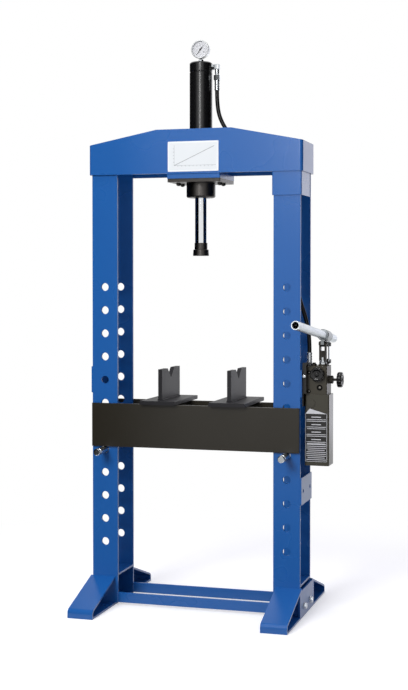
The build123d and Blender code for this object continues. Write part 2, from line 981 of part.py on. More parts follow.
def link(side):
    """A strap with round ends beside the lever's lug."""
    inner = link_gap / 2
    x0, x1 = sorted((lever_x + side * inner, lever_x + side * (inner + link_thickness)))
    half = link_width / 2
    strap = block(x0, x1, fulcrum_y - half, fulcrum_y + half, link_foot_z, fulcrum_z)
    for z in (link_foot_z, fulcrum_z):
        strap += rod_x(fulcrum_y, z, x0, x1, link_width)
    for z in (link_foot_z, fulcrum_z):
        strap -= rod_x(fulcrum_y, z, x0, x1, lower_pin)
    return strap


def link_pins():
    """The links' lower and upper pins, with a head outside each link."""
    reach = link_gap / 2 + link_thickness
    pins = []
    for z in (link_foot_z, fulcrum_z):
        pin = rod_x(fulcrum_y, z, lever_x - reach, lever_x + reach, lower_pin)
        pin += rod_x(fulcrum_y, z, lever_x + reach, lever_x + reach + 3, 12)
        pin += rod_x(fulcrum_y, z, lever_x - reach - 2, lever_x - reach, 12)
        pins.append(pin)
    return group(pins)


lever_axis_y = 75
lever_axis_z = 867.5
tube_outer = 26
tube_bore = 20
tube_front = 404
tube_rear = 152
sleeve_diameter = 36
sleeve_front = 15
sleeve_rear = 53


def along_lever(shape):
    """Turns a piece modelled along Y, about the lever's own axis point."""
    return Pos(lever_x, lever_axis_y, lever_axis_z) * Rot(-lever_rise, 0, 0) * shape


def lever_tube():
    tube = rod_y(0, 0, -tube_front, tube_rear, tube_outer)
    tube -= rod_y(0, 0, -tube_front, tube_rear, tube_bore)
    return one_solid(along_lever(tube))


def lever_head():
    """The sleeve that grips the tube, with a lug below it for both pins."""
    sleeve = rod_y(0, 0, -sleeve_front, sleeve_rear, sleeve_diameter)
    sleeve = along_lever(chamfer(sleeve.edges().filter_by(GeomType.CIRCLE), 2))
    into_sleeve = lever_axis_z - tube_outer / 2
    outline = [
        (plunger_y - 11, into_sleeve),
        (plunger_y - 11, clevis_pin_z - 3),
        (plunger_y - 5, clevis_pin_z - 9),
        (fulcrum_y + 3, fulcrum_z - 9),
        (fulcrum_y + 9, fulcrum_z - 3),
        (fulcrum_y + 14, into_sleeve),
    ]
    half = lug_thickness / 2
    lug = plate_yz(outline, lever_x - half, lever_x + half)
    head = sleeve + lug + rod_x(fulcrum_y, fulcrum_z, *link_span(), 15)
    head -= along_lever(rod_y(0, 0, -past_all, past_all, tube_outer))
    head -= rod_x(fulcrum_y, fulcrum_z, 0, past_all, lower_pin + 2 * running_gap)
    hole = clevis_pin_diameter + 2 * pin_play
    for y in (plunger_y - pin_slide, plunger_y + pin_slide):
        head -= rod_x(y, clevis_pin_z, lever_x - half, lever_x + half, hole)
    head -= block(
        lever_x - half,
        lever_x + half,
        plunger_y - pin_slide,
        plunger_y + pin_slide,
        clevis_pin_z - hole / 2,
        clevis_pin_z + hole / 2,
    )
    return one_solid(head)


# Table
spacer_outer = 236
spacer_inner = 226
spacer_height = 70


def table_beam(front):
    y0 = -table_plate - rest_gap if front else column_depth + rest_gap
    beam = block(-table_half_length, table_half_length, y0, y0 + table_plate, table_bottom, table_top)
    return fillet(beam.edges().filter_by(Axis.X), 1.5)


def table_spacer(side):
    """A cross plate that joins the table's two beams inside a column."""
    z0 = table_bottom + 22
    x0, x1 = span(side, spacer_inner, spacer_outer)
    return block(x0, x1, -rest_gap, column_depth + rest_gap, z0, z0 + spacer_height)


def support_pin(side):
    """A round steel pin with broken edges and a groove near its front end."""
    radius = pin_diameter / 2
    length = pin_back - pin_front
    groove = radius - 2
    profile = [
        (0, 0),
        (radius - 2, 0),
        (radius, 2),
        (radius, 9),
        (groove, 10),
        (groove, 14),
        (radius, 15),
        (radius, length - 3),
        (radius - 3, length),
        (0, length),
    ]
    return Pos(side * bar_x, pin_front, pin_z) * Rot(-90, 0, 0) * turned(profile)


vblock_x = 113
vblock_y = 95
vblock_width = 116
vblock_length = 248
vblock_base_height = 12
upright_thickness = 13
upright_length = 184
upright_height = 98
notch_depth = 31
notch_width = 68


def vblock_base(side):
    half = vblock_width / 2
    x = side * vblock_x
    y0 = vblock_y - vblock_length / 2
    plate = block(x - half, x + half, y0, y0 + vblock_length, table_top, table_top + vblock_base_height)
    return chamfer(plate.faces().sort_by(Axis.Z)[-1].edges(), 1)


def vblock_upright(side):
    """An upright plate across the table, with a V notch in its top edge."""
    z0 = table_top + vblock_base_height
    z1 = z0 + upright_height
    half_length = upright_length / 2
    outline = [
        (vblock_y - half_length, z0),
        (vblock_y + half_length, z0),
        (vblock_y + half_length, z1),
        (vblock_y + notch_width / 2, z1),
        (vblock_y, z1 - notch_depth),
        (vblock_y - notch_width / 2, z1),
        (vblock_y - half_length, z1),
    ]
    half = upright_thickness / 2
    x = side * vblock_x
    return plate_yz(outline, x - half, x + half)


cord_nodes = ("hose", "hose_ferrules")


def all_pieces():
    return {
        "left_front_bar": column_bar(-1, True),
        "left_rear_bar": column_bar(-1, False),
        "right_front_bar": column_bar(1, True),
        "right_rear_bar": column_bar(1, False),
        "beam_front_cheek": cheek(True),
        "beam_rear_cheek": cheek(False),
        "head_plate": head_plate(),
        "clamp_plate": clamp_plate(),
        "clamp_bolts": clamp_bolts(),
        "column_head_cover": column_head_cover(),
        "upper_side_plates": pair(upper_side_plate),
        "lower_mount_plate": lower_mount_plate(),
        "foot_bases": pair(foot_base),
        "toe_strips": group([toe_strip(side, front) for side in (-1, 1) for front in (True, False)]),
        "tie_plates": pair(tie_plate),
        "foot_side_plates": pair(foot_side_plate),
        "foot_lugs": pair(foot_lug),
        "foot_bolts": foot_bolts(),
        "cross_bars": cross_bars(),
        "chart_plate": chart_plate(),
        "cylinder_barrel": cylinder_barrel(),
        "cylinder_cap": cylinder_cap(),
        "cylinder_collar": cylinder_collar(),
        "wiper_ring": wiper_ring(),
        "piston": piston(),
        "piston_seal": piston_seal(),
        "piston_rod": piston_rod(),
        "rod_sleeve": rod_sleeve(),
        "pressing_foot": pressing_foot(),
        "return_spring": return_spring(),
        "gauge_stem": gauge_stem(),
        "gauge_case": gauge_case(),
        "gauge_dial": gauge_dial(),
        "gauge_glass": gauge_glass(),
        "gauge_needle": gauge_needle(),
        "elbow_fitting": elbow_fitting(),
        "hose": hose(),
        "hose_ferrules": hose_ferrules(),
        "pump_block": pump_block(),
        "reservoir": reservoir(),
        "pump_bracket": pump_bracket(),
        "pump_screws": pump_screws(),
        "filler_plug": filler_plug(),
        "side_gland": side_gland(),
        "side_knob": side_knob(),
        "front_knob": front_knob(),
        "plunger": plunger(),
        "clevis": clevis(),
        "clevis_pin": clevis_pin(),
        "fulcrum_links": pair(link),
        "link_pins": link_pins(),
        "lever_head": lever_head(),
        "lever_tube": lever_tube(),
        "table_front_beam": table_beam(True),
        "table_rear_beam": table_beam(False),
        "table_spacers": pair(table_spacer),
        "left_pin": support_pin(-1),
        "right_pin": support_pin(1),
        "vblock_bases": pair(vblock_base),
        "vblock_uprights": pair(vblock_upright),
    }


def main():
    pieces = all_pieces()
    rigid = [solid for name, piece in pieces.items() if name not in cord_nodes for solid in piece.solids()]
    box = Compound(rigid).bounding_box()
    middle = box.center()
    print("origin", round(middle.X, 3), round(middle.Y, 3), round(box.min.Z, 3))
    print("hose radii", [round(radius) for radius in hose_radii()], "length", round(hose_path().length, 1))
    to_origin = Pos(-middle.X, -middle.Y, -box.min.Z)
    os.makedirs("parts", exist_ok=True)
    for name, piece in pieces.items():
        export_step(to_origin * piece, f"parts/{name}.step")


main()
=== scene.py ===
# %% [markdown]
# A manual workshop press, dressed for its portrait. The CAD parts come in
# first. They already have their true shape and place, so this script never
# moves them: it gives them materials, and it adds the pieces that are easier
# to model here than in CAD, such as welds, printed scales and rubber.

# %% Load the press
import bpy
import bmesh
import json
import math
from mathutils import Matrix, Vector


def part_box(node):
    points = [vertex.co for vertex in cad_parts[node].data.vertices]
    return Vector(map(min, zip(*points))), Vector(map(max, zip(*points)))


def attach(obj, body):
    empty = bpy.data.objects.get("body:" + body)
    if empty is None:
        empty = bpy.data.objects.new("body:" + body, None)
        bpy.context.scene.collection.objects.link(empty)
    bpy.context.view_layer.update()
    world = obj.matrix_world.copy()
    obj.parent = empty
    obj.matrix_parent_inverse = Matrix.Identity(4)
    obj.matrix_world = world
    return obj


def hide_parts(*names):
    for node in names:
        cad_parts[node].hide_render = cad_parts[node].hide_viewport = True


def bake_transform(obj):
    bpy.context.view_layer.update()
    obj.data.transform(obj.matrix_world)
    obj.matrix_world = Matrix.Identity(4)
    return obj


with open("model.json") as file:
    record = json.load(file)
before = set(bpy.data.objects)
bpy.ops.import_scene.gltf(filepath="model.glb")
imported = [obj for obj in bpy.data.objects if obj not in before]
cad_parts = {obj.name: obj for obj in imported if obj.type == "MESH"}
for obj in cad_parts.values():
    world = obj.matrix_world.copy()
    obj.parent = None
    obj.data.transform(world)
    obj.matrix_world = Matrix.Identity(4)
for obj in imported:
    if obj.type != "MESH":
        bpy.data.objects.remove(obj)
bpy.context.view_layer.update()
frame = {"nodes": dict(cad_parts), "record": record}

# %% [markdown]
# Blender counts in metres and the press was drawn in millimetres, from the
# middle between its columns, the front of the front bars and the floor. Two
# known boxes tell where that drawing's zero is here, so every size below can
# be written as on the drawing.

# %% From drawing millimetres to Blender metres
MM = 0.001
left_bar, right_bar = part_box("left_front_bar"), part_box("right_front_bar")
drawing_zero = Vector(((left_bar[0].x + right_bar[1].x) / 2, left_bar[0].y, 0))


def at(x, y, z):
    """A point of the drawing, in metres."""
    return drawing_zero + Vector((x, y, z)) * MM


print("drawing zero at", tuple(round(c, 4) for c in drawing_zero))

# %% [markdown]
# The photograph was taken from about four metres, from the right and a
# little above the press's middle. A long lens keeps the columns nearly
# parallel. The shift slides the picture, so the camera is hardly tilted,
# which is how a product photographer keeps upright edges upright.

# %% The camera
camera_place = Vector((1.165, -3.97351, 1.0455))
camera_turn = math.radians(16.355)
camera_tilt = math.radians(-1.324)
camera_lens = 69.138
camera_shift = (-0.0101, -0.05307)

bpy.ops.object.camera_add(location=camera_place, rotation=(math.pi / 2 + camera_tilt, 0, camera_turn))
camera = bpy.context.object
camera.data.lens = camera_lens
camera.data.shift_x, camera.data.shift_y = camera_shift
bpy.context.scene.camera = camera
bpy.context.scene.view_settings.view_transform = "Standard"
print("camera", tuple(round(c, 3) for c in camera.location))

# %% [markdown]
# The hose carries oil from the pump to the cylinder. It is one steel-braided
# rubber hose, 13 mm thick, that hangs from the elbow over the back of the
# beam's front cheek and down inside the right column. A NURBS curve is pulled
# towards its points without touching them, which bends like a real hose. Its
# order is set after the points are there, because it can't be higher than
# their number.

# %% The hose
hose_diameter = 13
hose_route = [
    (53, 76, 1637),
    (53, 76, 1590),
    (65, 76.5, 1541),
    (96, 77, 1494),
    (150, 77.5, 1453),
    (213, 78, 1424),
    (262, 78.5, 1378),
    (288, 78, 1306),
    (296, 77, 1222),
    (297, 75, 1136),
    (305, 71, 1056),
    (321, 67, 984),
    (343, 63, 922),
    (356, 60, 866),
    (356, 60, 814),
]

hose_curve = bpy.data.curves.new("oil_hose", "CURVE")
hose_curve.dimensions = "3D"
run = hose_curve.splines.new("NURBS")
run.points.add(len(hose_route) - 1)
for point, spot in zip(run.points, hose_route):
    point.co = (*at(*spot), 1)
run.order_u = 3
run.use_endpoint_u = True
hose_curve.resolution_u = 16
hose_curve.bevel_depth = hose_diameter / 2 * MM
hose_curve.bevel_resolution = 6
hose_curve.use_fill_caps = True
oil_hose = bpy.data.objects.new("oil_hose", hose_curve)
bpy.context.collection.objects.link(oil_hose)

# %% [markdown]
# Modelling by hand in Blender follows one rhythm: add a primitive, go into
# edit mode, pick faces or edges, and change them. These few helpers do the
# same. Everything is deselected first, because an operator changes all that
# is selected, and the loaded CAD parts are.

# %% Helpers for modelling
def deselect():
    """Leaves nothing selected."""
    bpy.ops.object.select_all(action="DESELECT")


def select(pieces):
    """Selects these pieces only, and makes the first one active."""
    deselect()
    for piece in pieces:
        piece.select_set(True)
    bpy.context.view_layer.objects.active = pieces[0]


def begin(name):
    """Names the primitive that was just added, and goes into edit mode with all of it selected."""
    piece = bpy.context.object
    piece.name = piece.data.name = name
    bpy.ops.object.mode_set(mode="EDIT")
    bpy.ops.mesh.select_mode(type="VERT")
    bpy.ops.mesh.select_all(action="SELECT")
    return piece


def pick_faces(piece, test):
    """In edit mode, selects the faces that pass a test, and nothing else."""
    bpy.ops.mesh.select_mode(type="FACE")
    bpy.ops.mesh.select_all(action="DESELECT")
    form = bmesh.from_edit_mesh(piece.data)
    for face in form.faces:
        face.select_set(test(face))
    bmesh.update_edit_mesh(piece.data)


def place(piece, location=(0, 0, 0), rotation=(0, 0, 0), smooth=35):
    """Leaves edit mode, moves the piece to its place, and puts that place into its mesh."""
    if bpy.context.mode != "OBJECT":
        bpy.ops.mesh.select_all(action="SELECT")
        bpy.ops.mesh.normals_make_consistent(inside=False)
        bpy.ops.object.mode_set(mode="OBJECT")
    select([piece])
    piece.location = location
    piece.rotation_euler = rotation
    bpy.ops.object.transform_apply(location=True, rotation=True, scale=True)
    bpy.ops.object.shade_smooth_by_angle(angle=math.radians(smooth))
    return piece


def copy_of(piece, move=(0, 0, 0), turn=(0, 0, 0)):
    """A copy with its own mesh, moved and turned about the scene's zero."""
    select([piece])
    bpy.ops.object.duplicate(linked=False)
    return place(bpy.context.object, move, turn)


def join(pieces, name):
    """Several meshes become one piece."""
    select(pieces)
    bpy.ops.object.join()
    joined = bpy.context.object
    joined.name = joined.data.name = name
    return joined


def turned(name, rings, sides=48, hollow=False):
    """A turned piece about Z, extruded from ring to ring, each given as (radius, height) in mm.

    A solid one starts from a disc. A hollow one starts from an open circle and ends where it began.
    """
    if hollow:
        rings = rings + rings[:1]
    radius, height = rings[0]
    deselect()
    bpy.ops.mesh.primitive_circle_add(
        vertices=sides,
        radius=radius * MM,
        location=(0, 0, height * MM),
        fill_type="NOTHING" if hollow else "NGON",
    )
    bpy.ops.object.transform_apply(location=True)
    piece = begin(name)
    for next_radius, next_height in rings[1:]:
        rise = (next_height - height) * MM
        scale = next_radius / radius
        bpy.ops.mesh.extrude_region_move(TRANSFORM_OT_translate={"value": (0, 0, rise)})
        bpy.ops.transform.resize(value=(scale, scale, 1), center_override=(0, 0, next_height * MM))
        radius, height = next_radius, next_height
    if hollow:
        bpy.ops.mesh.select_all(action="SELECT")
        bpy.ops.mesh.remove_doubles(threshold=0.00001)
    return piece


def finished(piece, material, body):
    """Gives a piece its material and the CAD body that it moves with."""
    piece.data.materials.clear()
    piece.data.materials.append(material)
    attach(piece, body)
    print(piece.name, len(piece.data.polygons) if piece.type == "MESH" else "curve", "on", body)
    return piece


# %% [markdown]
# Every material below is a small graph of nodes. One helper adds a node, sets
# its options and its inputs, and links an input when it is given another
# node's output. Colours are written as sRGB hex, as a colour picker shows
# them, and turned into the linear values that the shader works with.

# %% Helpers for materials
def linear(hex_colour):
    """sRGB hex to linear RGBA."""
    parts = [int(hex_colour[i : i + 2], 16) / 255 for i in (1, 3, 5)]
    curve = [p / 12.92 if p <= 0.04045 else ((p + 0.055) / 1.055) ** 2.4 for p in parts]
    return (*curve, 1)


def add(tree, kind, inputs=None, **options):
    """Adds one node with its options, and sets or links its inputs."""
    node = tree.nodes.new(kind)
    for name, value in options.items():
        setattr(node, name, value)
    for name, value in (inputs or {}).items():
        if isinstance(value, bpy.types.NodeSocket):
            tree.links.new(value, node.inputs[name])
        else:
            node.inputs[name].default_value = value
    return node


def new_material(name):
    """An empty material and its tree."""
    material = bpy.data.materials.new(name)
    material.use_nodes = True
    material.node_tree.nodes.clear()
    return material, material.node_tree


def finish_surface(tree, shader):
    """Ends the graph."""
    add(tree, "ShaderNodeOutputMaterial", {"Surface": shader.outputs[0]})


def on_object(tree):
    """The piece's own coordinates, in metres, which every pattern is laid on."""
    return add(tree, "ShaderNodeTexCoord").outputs["Object"]


def noise(tree, where, size_mm, detail=2):
    """A soft random pattern with spots of about that size."""
    inputs = {"Vector": where, "Scale": 1 / (size_mm * MM), "Detail": detail}
    return add(tree, "ShaderNodeTexNoise", inputs).outputs["Fac"]


def two_tones(tree, pattern, colour, other_colour):
    """A colour that wanders between two tones with the pattern."""
    tone = add(tree, "ShaderNodeMix", {"Factor": pattern}, data_type="RGBA")
    tone.inputs["A"].default_value = linear(colour)
    tone.inputs["B"].default_value = linear(other_colour)
    return tone.outputs["Result"]


def spread(tree, pattern, low, high):
    """A number that wanders between two values with the pattern."""
    inputs = {"Value": pattern, "To Min": low, "To Max": high}
    return add(tree, "ShaderNodeMapRange", inputs).outputs["Result"]


def relief(tree, pattern, strength, height_mm):
    """A surface that the pattern makes uneven."""
    inputs = {"Height": pattern, "Strength": strength, "Distance": height_mm * MM}
    return add(tree, "ShaderNodeBump", inputs).outputs["Normal"]


def mix(tree, share, first, second):
    """The first shader where the share is 0, and the second where it is 1."""
    return add(tree, "ShaderNodeMixShader", {0: share, 1: first.outputs[0], 2: second.outputs[0]})


# %% [markdown]
# The frame is welded steel in a stoved blue enamel. Such paint is glossy, and
# it dries with a very shallow orange peel: waves a few millimetres wide that
# soften every reflection. The enamel also lies a little thicker and darker in
# some places, so a slow noise moves its colour slightly. The same recipe with
# other colours serves all painted parts.

# %% Painted steel
PEEL_HEIGHT_MM = 0.04


def paint(name, colour, deep_colour, roughness, peel_mm=3.5, cloud_mm=180, peel=0.25):
    """Enamel with an orange peel, between two close tones."""
    material, tree = new_material(name)
    clouds = noise(tree, on_object(tree), cloud_mm)
    waves = noise(tree, on_object(tree), peel_mm, detail=1)
    skin = {
        "Base Color": two_tones(tree, clouds, colour, deep_colour),
        "Roughness": spread(tree, clouds, roughness - 0.04, roughness + 0.04),
        "Normal": relief(tree, waves, peel, PEEL_HEIGHT_MM),
        "IOR": 1.5,
    }
    finish_surface(tree, add(tree, "ShaderNodeBsdfPrincipled", skin))
    return material


# Stoved blue enamel on the frame: deep, semi-gloss, a faint orange peel.
blue_enamel = paint("blue_enamel", "#1e60a8", "#1b5aa1", 0.28)
# Near-black satin enamel on the table: warm and less glossy.
table_black = paint("table_black_enamel", "#29251c", "#242119", 0.38, peel=0.35)
# The V-blocks are sprayed in a flatter black with a hint of violet.
block_black = paint("vblock_dull_black", "#1b1a1e", "#161519", 0.52, peel_mm=2, peel=0.5)
# Gloss black paint on the cylinder.
cylinder_black = paint("cylinder_gloss_black", "#101011", "#0c0c0d", 0.27, peel=0.15)
# Olive grey paint on the pump's machined block: satin, with a coarser skin.
pump_grey = paint("pump_olive_grey_paint", "#3a362a", "#333026", 0.42, peel_mm=1.6, peel=0.6)
# The reservoir has the same paint on smooth sheet, a little glossier.
tank_grey = paint("tank_olive_grey_paint", "#3c392d", "#353328", 0.3, peel_mm=3)
# Black paint on the pump's folded bracket.
bracket_black = paint("bracket_black_paint", "#191817", "#141414", 0.4)
for coat in (blue_enamel, table_black, block_black, cylinder_black, pump_grey, tank_grey, bracket_black):
    print("painted:", coat.name)

# %% [markdown]
# Bare and plated metal is a metallic surface whose colour is its reflection.
# What tells one finish from another is its roughness and the marks that made
# it. Zinc plating has soft cloudy patches, blackened steel has a brown-black
# bloom, and a ground chromed rod has almost invisible rings round its axis.

# %% Plated, blackened and ground metal
def metal(name, bright, dull, rough_min, rough_max, patch_mm, grain=(1, 1, 1), bump_mm=0):
    """Metal whose tone and roughness follow one pattern, stretched by grain."""
    material, tree = new_material(name)
    stretched = add(tree, "ShaderNodeMapping", {"Vector": on_object(tree), "Scale": grain})
    patches = noise(tree, stretched.outputs["Vector"], patch_mm, detail=3)
    skin = {
        "Base Color": two_tones(tree, patches, bright, dull),
        "Roughness": spread(tree, patches, rough_min, rough_max),
        "Metallic": 1,
    }
    if bump_mm:
        skin["Normal"] = relief(tree, patches, 0.4, bump_mm)
    finish_surface(tree, add(tree, "ShaderNodeBsdfPrincipled", skin))
    return material


# Hard chrome on the rod: mirror-bright, ground round its axis.
chrome = metal("ground_chrome", "#e6e8ea", "#dcdee1", 0.06, 0.12, 0.8, grain=(0.05, 0.05, 1))
# Bright zinc on bolts, pins, ferrules and links: cloudy and slightly blue.
zinc = metal("bright_zinc", "#d5d9dc", "#b9bec2", 0.2, 0.34, 3)
# The lever's tube is zinc-plated too, and paler and softer from handling.
lever_zinc = metal("handled_zinc_tube", "#cbd1d6", "#b3bac0", 0.3, 0.42, 6, grain=(1, 0.3, 1))
# Black oxide on turned parts: dark brown-grey with a dull bloom.
black_oxide = metal("black_oxide_steel", "#45423e", "#302e2b", 0.34, 0.48, 5, bump_mm=0.02)
# Deep black oxide on small screws, and a pale steel for the bottom of their recesses whose brightness is
# a painted highlight.
deep_oxide = metal("deep_black_oxide", "#1d1c1b", "#141413", 0.3, 0.42, 3)
recess_highlight_metal = metal("pale_highlight_steel", "#a3a09a", "#85827c", 0.3, 0.44, 3)
# The lever's head: zinc on a rough casting, duller than the tube in it.
cast_zinc = metal("dull_cast_zinc", "#a6abae", "#85898c", 0.34, 0.46, 2.5, bump_mm=0.06)
# Blackened clamp parts, satin.
clamp_black = metal("blackened_clamp_steel", "#565351", "#43413f", 0.32, 0.44, 9, bump_mm=0.02)
# Brushed stainless case of the gauge, spun, so its marks run round.
stainless = metal("brushed_stainless", "#e8eaeb", "#dcdee0", 0.38, 0.48, 1.2, grain=(1, 0.1, 1))
# Oiled spring wire.
spring_steel = metal("oiled_spring_wire", "#4b4a49", "#373635", 0.3, 0.4, 2)
for plating in (chrome, zinc, lever_zinc, black_oxide, deep_oxide, cast_zinc, clamp_black, stainless):
    print("metal:", plating.name)

# %% [markdown]
# Rubber and phenolic plastic are dull and dark. Rubber has a fine grain that
# scatters light, and the moulded knobs shine where hands have polished them.

# %% Rubber, plastic and print
WEAR_MM = 25


def moulded(name, colour, worn_colour, roughness, grain_mm, grain_height_mm, ior=1.5):
    """Moulded rubber or plastic with a fine grain."""
    material, tree = new_material(name)
    grain = noise(tree, on_object(tree), grain_mm)
    wear = noise(tree, on_object(tree), WEAR_MM)
    skin = {
        "Base Color": two_tones(tree, wear, colour, worn_colour),
        "Roughness": spread(tree, wear, roughness - 0.06, roughness + 0.06),
        "Normal": relief(tree, grain, 0.5, grain_height_mm),
        "IOR": ior,
    }
    finish_surface(tree, add(tree, "ShaderNodeBsdfPrincipled", skin))
    return material


# Cover of the oil hose: wrapped and cured, so it is matt and slightly grained.
hose_rubber = moulded("hose_rubber", "#0c0c0d", "#111112", 0.3, 1.2, 0.03, ior=1.33)
# Seals: smooth nitrile.
seal_rubber = moulded("nitrile_rubber", "#131313", "#1a1a1a", 0.4, 0.8, 0.01)
# Knobs: black phenolic, pressed in a polished mould.
phenolic = moulded("black_phenolic", "#0f0f10", "#151516", 0.2, 1.5, 0.01, ior=1.46)
# Enamelled dial face and the gauge's painted needle.
dial_enamel = moulded("white_dial_enamel", "#f4f5f4", "#eff0ef", 0.4, 2, 0.002)
needle_paint = moulded("black_needle_paint", "#111112", "#17171a", 0.4, 1, 0.002)
# Printed plastic film of the chart plate, and its inks.
chart_film = moulded("chart_film", "#f6f8f8", "#f1f4f4", 0.32, 4, 0.003)
field_ink = moulded("pale_field_ink", "#e8ecec", "#e4e9e9", 0.4, 3, 0.002)
line_ink = moulded("grey_line_ink", "#85898a", "#7c8081", 0.5, 1, 0.002)
scale_ink = moulded("grey_scale_ink", "#4b4e52", "#55585c", 0.5, 1, 0.002)
label_film = moulded("dark_label_film", "#1c1b1a", "#232220", 0.35, 3, 0.003)
label_ink = moulded("pale_label_ink", "#d9dadb", "#cfd0d2", 0.45, 2, 0.002)
for coat in (hose_rubber, seal_rubber, phenolic, dial_enamel, needle_paint, chart_film, label_film):
    print("moulded or printed:", coat.name)

# %% [markdown]
# The gauge's window is thin flat glass. It bends light so little that it can
# be drawn as two things: most of the light goes straight through, and Fresnel
# gives the small part that mirrors the room, with faint smears in its gloss.

# %% Gauge glass
gauge_glass, tree = new_material("clear_gauge_glass")
smears = noise(tree, on_object(tree), 9)
through = add(tree, "ShaderNodeBsdfTransparent", {"Color": linear("#fdfdfe")})
mirrored = add(tree, "ShaderNodeBsdfGlossy", {"Roughness": spread(tree, smears, 0.01, 0.06)})
edge = add(tree, "ShaderNodeFresnel", {"IOR": 1.45})
finish_surface(tree, mix(tree, edge.outputs[0], through, mirrored))
print("glass", gauge_glass.name)

# %% [markdown]
# The record of the CAD model names a finish for each part. One table matches
# those names to the materials above, and every CAD part gets its own.

# %% Materials on the CAD parts
finish_of_slot = {
    "frame_enamel": blue_enamel,
    "table_enamel": table_black,
    "cylinder_black": cylinder_black,
    "clamp_black": clamp_black,
    "pump_paint": pump_grey,
    "tank_paint": tank_grey,
    "bracket_black": bracket_black,
    "chromed_rod": chrome,
    "blackened_steel": black_oxide,
    "zinc_steel": zinc,
    "lever_zinc": lever_zinc,
    "spring_steel": spring_steel,
    "knob_plastic": phenolic,
    "hose_rubber": hose_rubber,
    "seal_rubber": seal_rubber,
    "gauge_steel": stainless,
    "dial_white": dial_enamel,
    "needle_black": needle_paint,
    "gauge_glass": gauge_glass,
    "chart_white": chart_film,
}
for part in frame["record"]["subparts"]:
    node = frame["nodes"][part["node"]]
    node.data.materials.clear()
    node.data.materials.append(finish_of_slot[part["material_slot"]])
own_finishes = {"vblock_bases": block_black, "vblock_uprights": block_black, "lever_head": cast_zinc}
for name, material in own_finishes.items():
    frame["nodes"][name].data.materials[0] = material

# %% [markdown]
# A crimped ferrule holds each end of the hose. It starts as a plain sleeve and
# a press squeezes rings into it. A turned shape follows a list of radii and
# heights, and the rings are just smaller radii in that list. At the pump a
# hexagon nut joins it to the block, with its corners turned off.

# %% Ferrules of the hose
ferrule_length = 33
ferrule_radius = 8.25
crimp_depth = 0.9
hose_top, hose_end = Vector(hose_route[0]), Vector(hose_route[-1])


def ferrule_rings():
    """Radii and heights of a sleeve with three crimped rings."""
    rings = [(ferrule_radius - 1, 0), (ferrule_radius, 1)]
    for crimp in (6, 14, 22):
        rings += [
            (ferrule_radius, crimp),
            (ferrule_radius - crimp_depth, crimp + 1),
            (ferrule_radius - crimp_depth, crimp + 4),
            (ferrule_radius, crimp + 5),
        ]
    return rings + [(ferrule_radius, ferrule_length - 1), (ferrule_radius - 1, ferrule_length)]


def hexagon(name, across_flats, height):
    """A hexagon bar with both ends' corners turned off, standing on the scene's zero."""
    corner = across_flats / math.sqrt(3)
    end_area = (across_flats * MM) ** 2 / 2
    deselect()
    bpy.ops.mesh.primitive_cylinder_add(
        vertices=6, radius=corner * MM, depth=height * MM, location=(0, 0, height / 2 * MM)
    )
    bpy.ops.object.transform_apply(location=True)
    bar = begin(name)
    pick_faces(bar, lambda face: abs(face.normal.z) > 0.9)
    bpy.ops.mesh.inset(thickness=across_flats * 0.07 * MM, use_individual=True)
    for side in (1, -1):
        pick_faces(bar, lambda face: face.normal.z * side > 0.9 and face.calc_area() > end_area)
        bpy.ops.transform.translate(value=(0, 0, side * across_flats * 0.035 * MM))
    return bar


pump_top = 774
nut_flats = 17
ferrule_foot = hose_end - Vector((0, 0, ferrule_length))
upper_ferrule = place(turned("upper_ferrule", ferrule_rings(), 40), at(*hose_top))
lower_ferrule = place(turned("lower_ferrule", ferrule_rings(), 40), at(*ferrule_foot))
pump_nut = hexagon("pump_nut", nut_flats, ferrule_foot.z - pump_top)
pump_nut = place(pump_nut, at(hose_end.x, hose_end.y, pump_top), (0, 0, math.radians(30)))
ferrules = join([upper_ferrule, lower_ferrule, pump_nut], "crimped_ferrules")
finished(ferrules, zinc, "frame")
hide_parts("hose_ferrules")

# %% The hose takes its rubber
oil_hose.data.materials.append(hose_rubber)
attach(oil_hose, "frame")
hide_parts("hose")

# %% [markdown]
# At the cylinder the hose ends in a forged elbow. A hexagon screws into the
# cap, a square-shouldered block turns the corner, and a swivel nut takes the
# hose. The block is a cube whose edges are beveled in edit mode.

# %% Elbow of the hose
cylinder_y, cap_radius, port_z = 76, 36, 1711
elbow_side, elbow_edge = 17, 2.4
adaptor_flats, adaptor_length, thread_depth = 17, 7, 9
swivel_flats, swivel_height, neck_depth = 19, 15, 3
swivel_low = hose_top.z + ferrule_length
along_x, to_front = (0, math.pi / 2, 0), (math.pi / 2, 0, 0)

adaptor = hexagon("adaptor", adaptor_flats, adaptor_length)
adaptor = place(adaptor, at(cap_radius, cylinder_y, port_z), along_x)
thread = turned("thread", [(4.6, 0), (5, 0.5), (5, 20)], 24)
thread = place(thread, at(cap_radius - thread_depth, cylinder_y, port_z), along_x)
deselect()
bpy.ops.mesh.primitive_cube_add(size=elbow_side * MM)
corner = begin("elbow_corner")
bpy.ops.mesh.bevel(offset=elbow_edge * MM, segments=3, affect="EDGES")
corner = place(corner, at(hose_top.x, cylinder_y, port_z))
neck = turned("neck", [(5.5, 0), (5.5, 7), (6.9, 8), (6.9, 22)], 32)
neck = place(neck, at(hose_top.x, cylinder_y, swivel_low + swivel_height - neck_depth))
swivel = hexagon("swivel_nut", swivel_flats, swivel_height)
swivel = place(swivel, at(hose_top.x, cylinder_y, swivel_low))
elbow = join([adaptor, thread, corner, neck, swivel], "forged_elbow")
finished(elbow, zinc, "frame")
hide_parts("elbow_fitting")

# %% [markdown]
# Two socket screws and a plug close the pump's front. Their heads are black
# from oxide, and a pale disc at the bottom of each recess is a painted
# highlight. The recess starts as a round ring, and its points are pulled onto
# a hexagon. One plated screw holds the bracket, and two bolts go through the
# column's side plate.

# %% Screws and plug of the pump
pump_front = 32
below_recess = -4


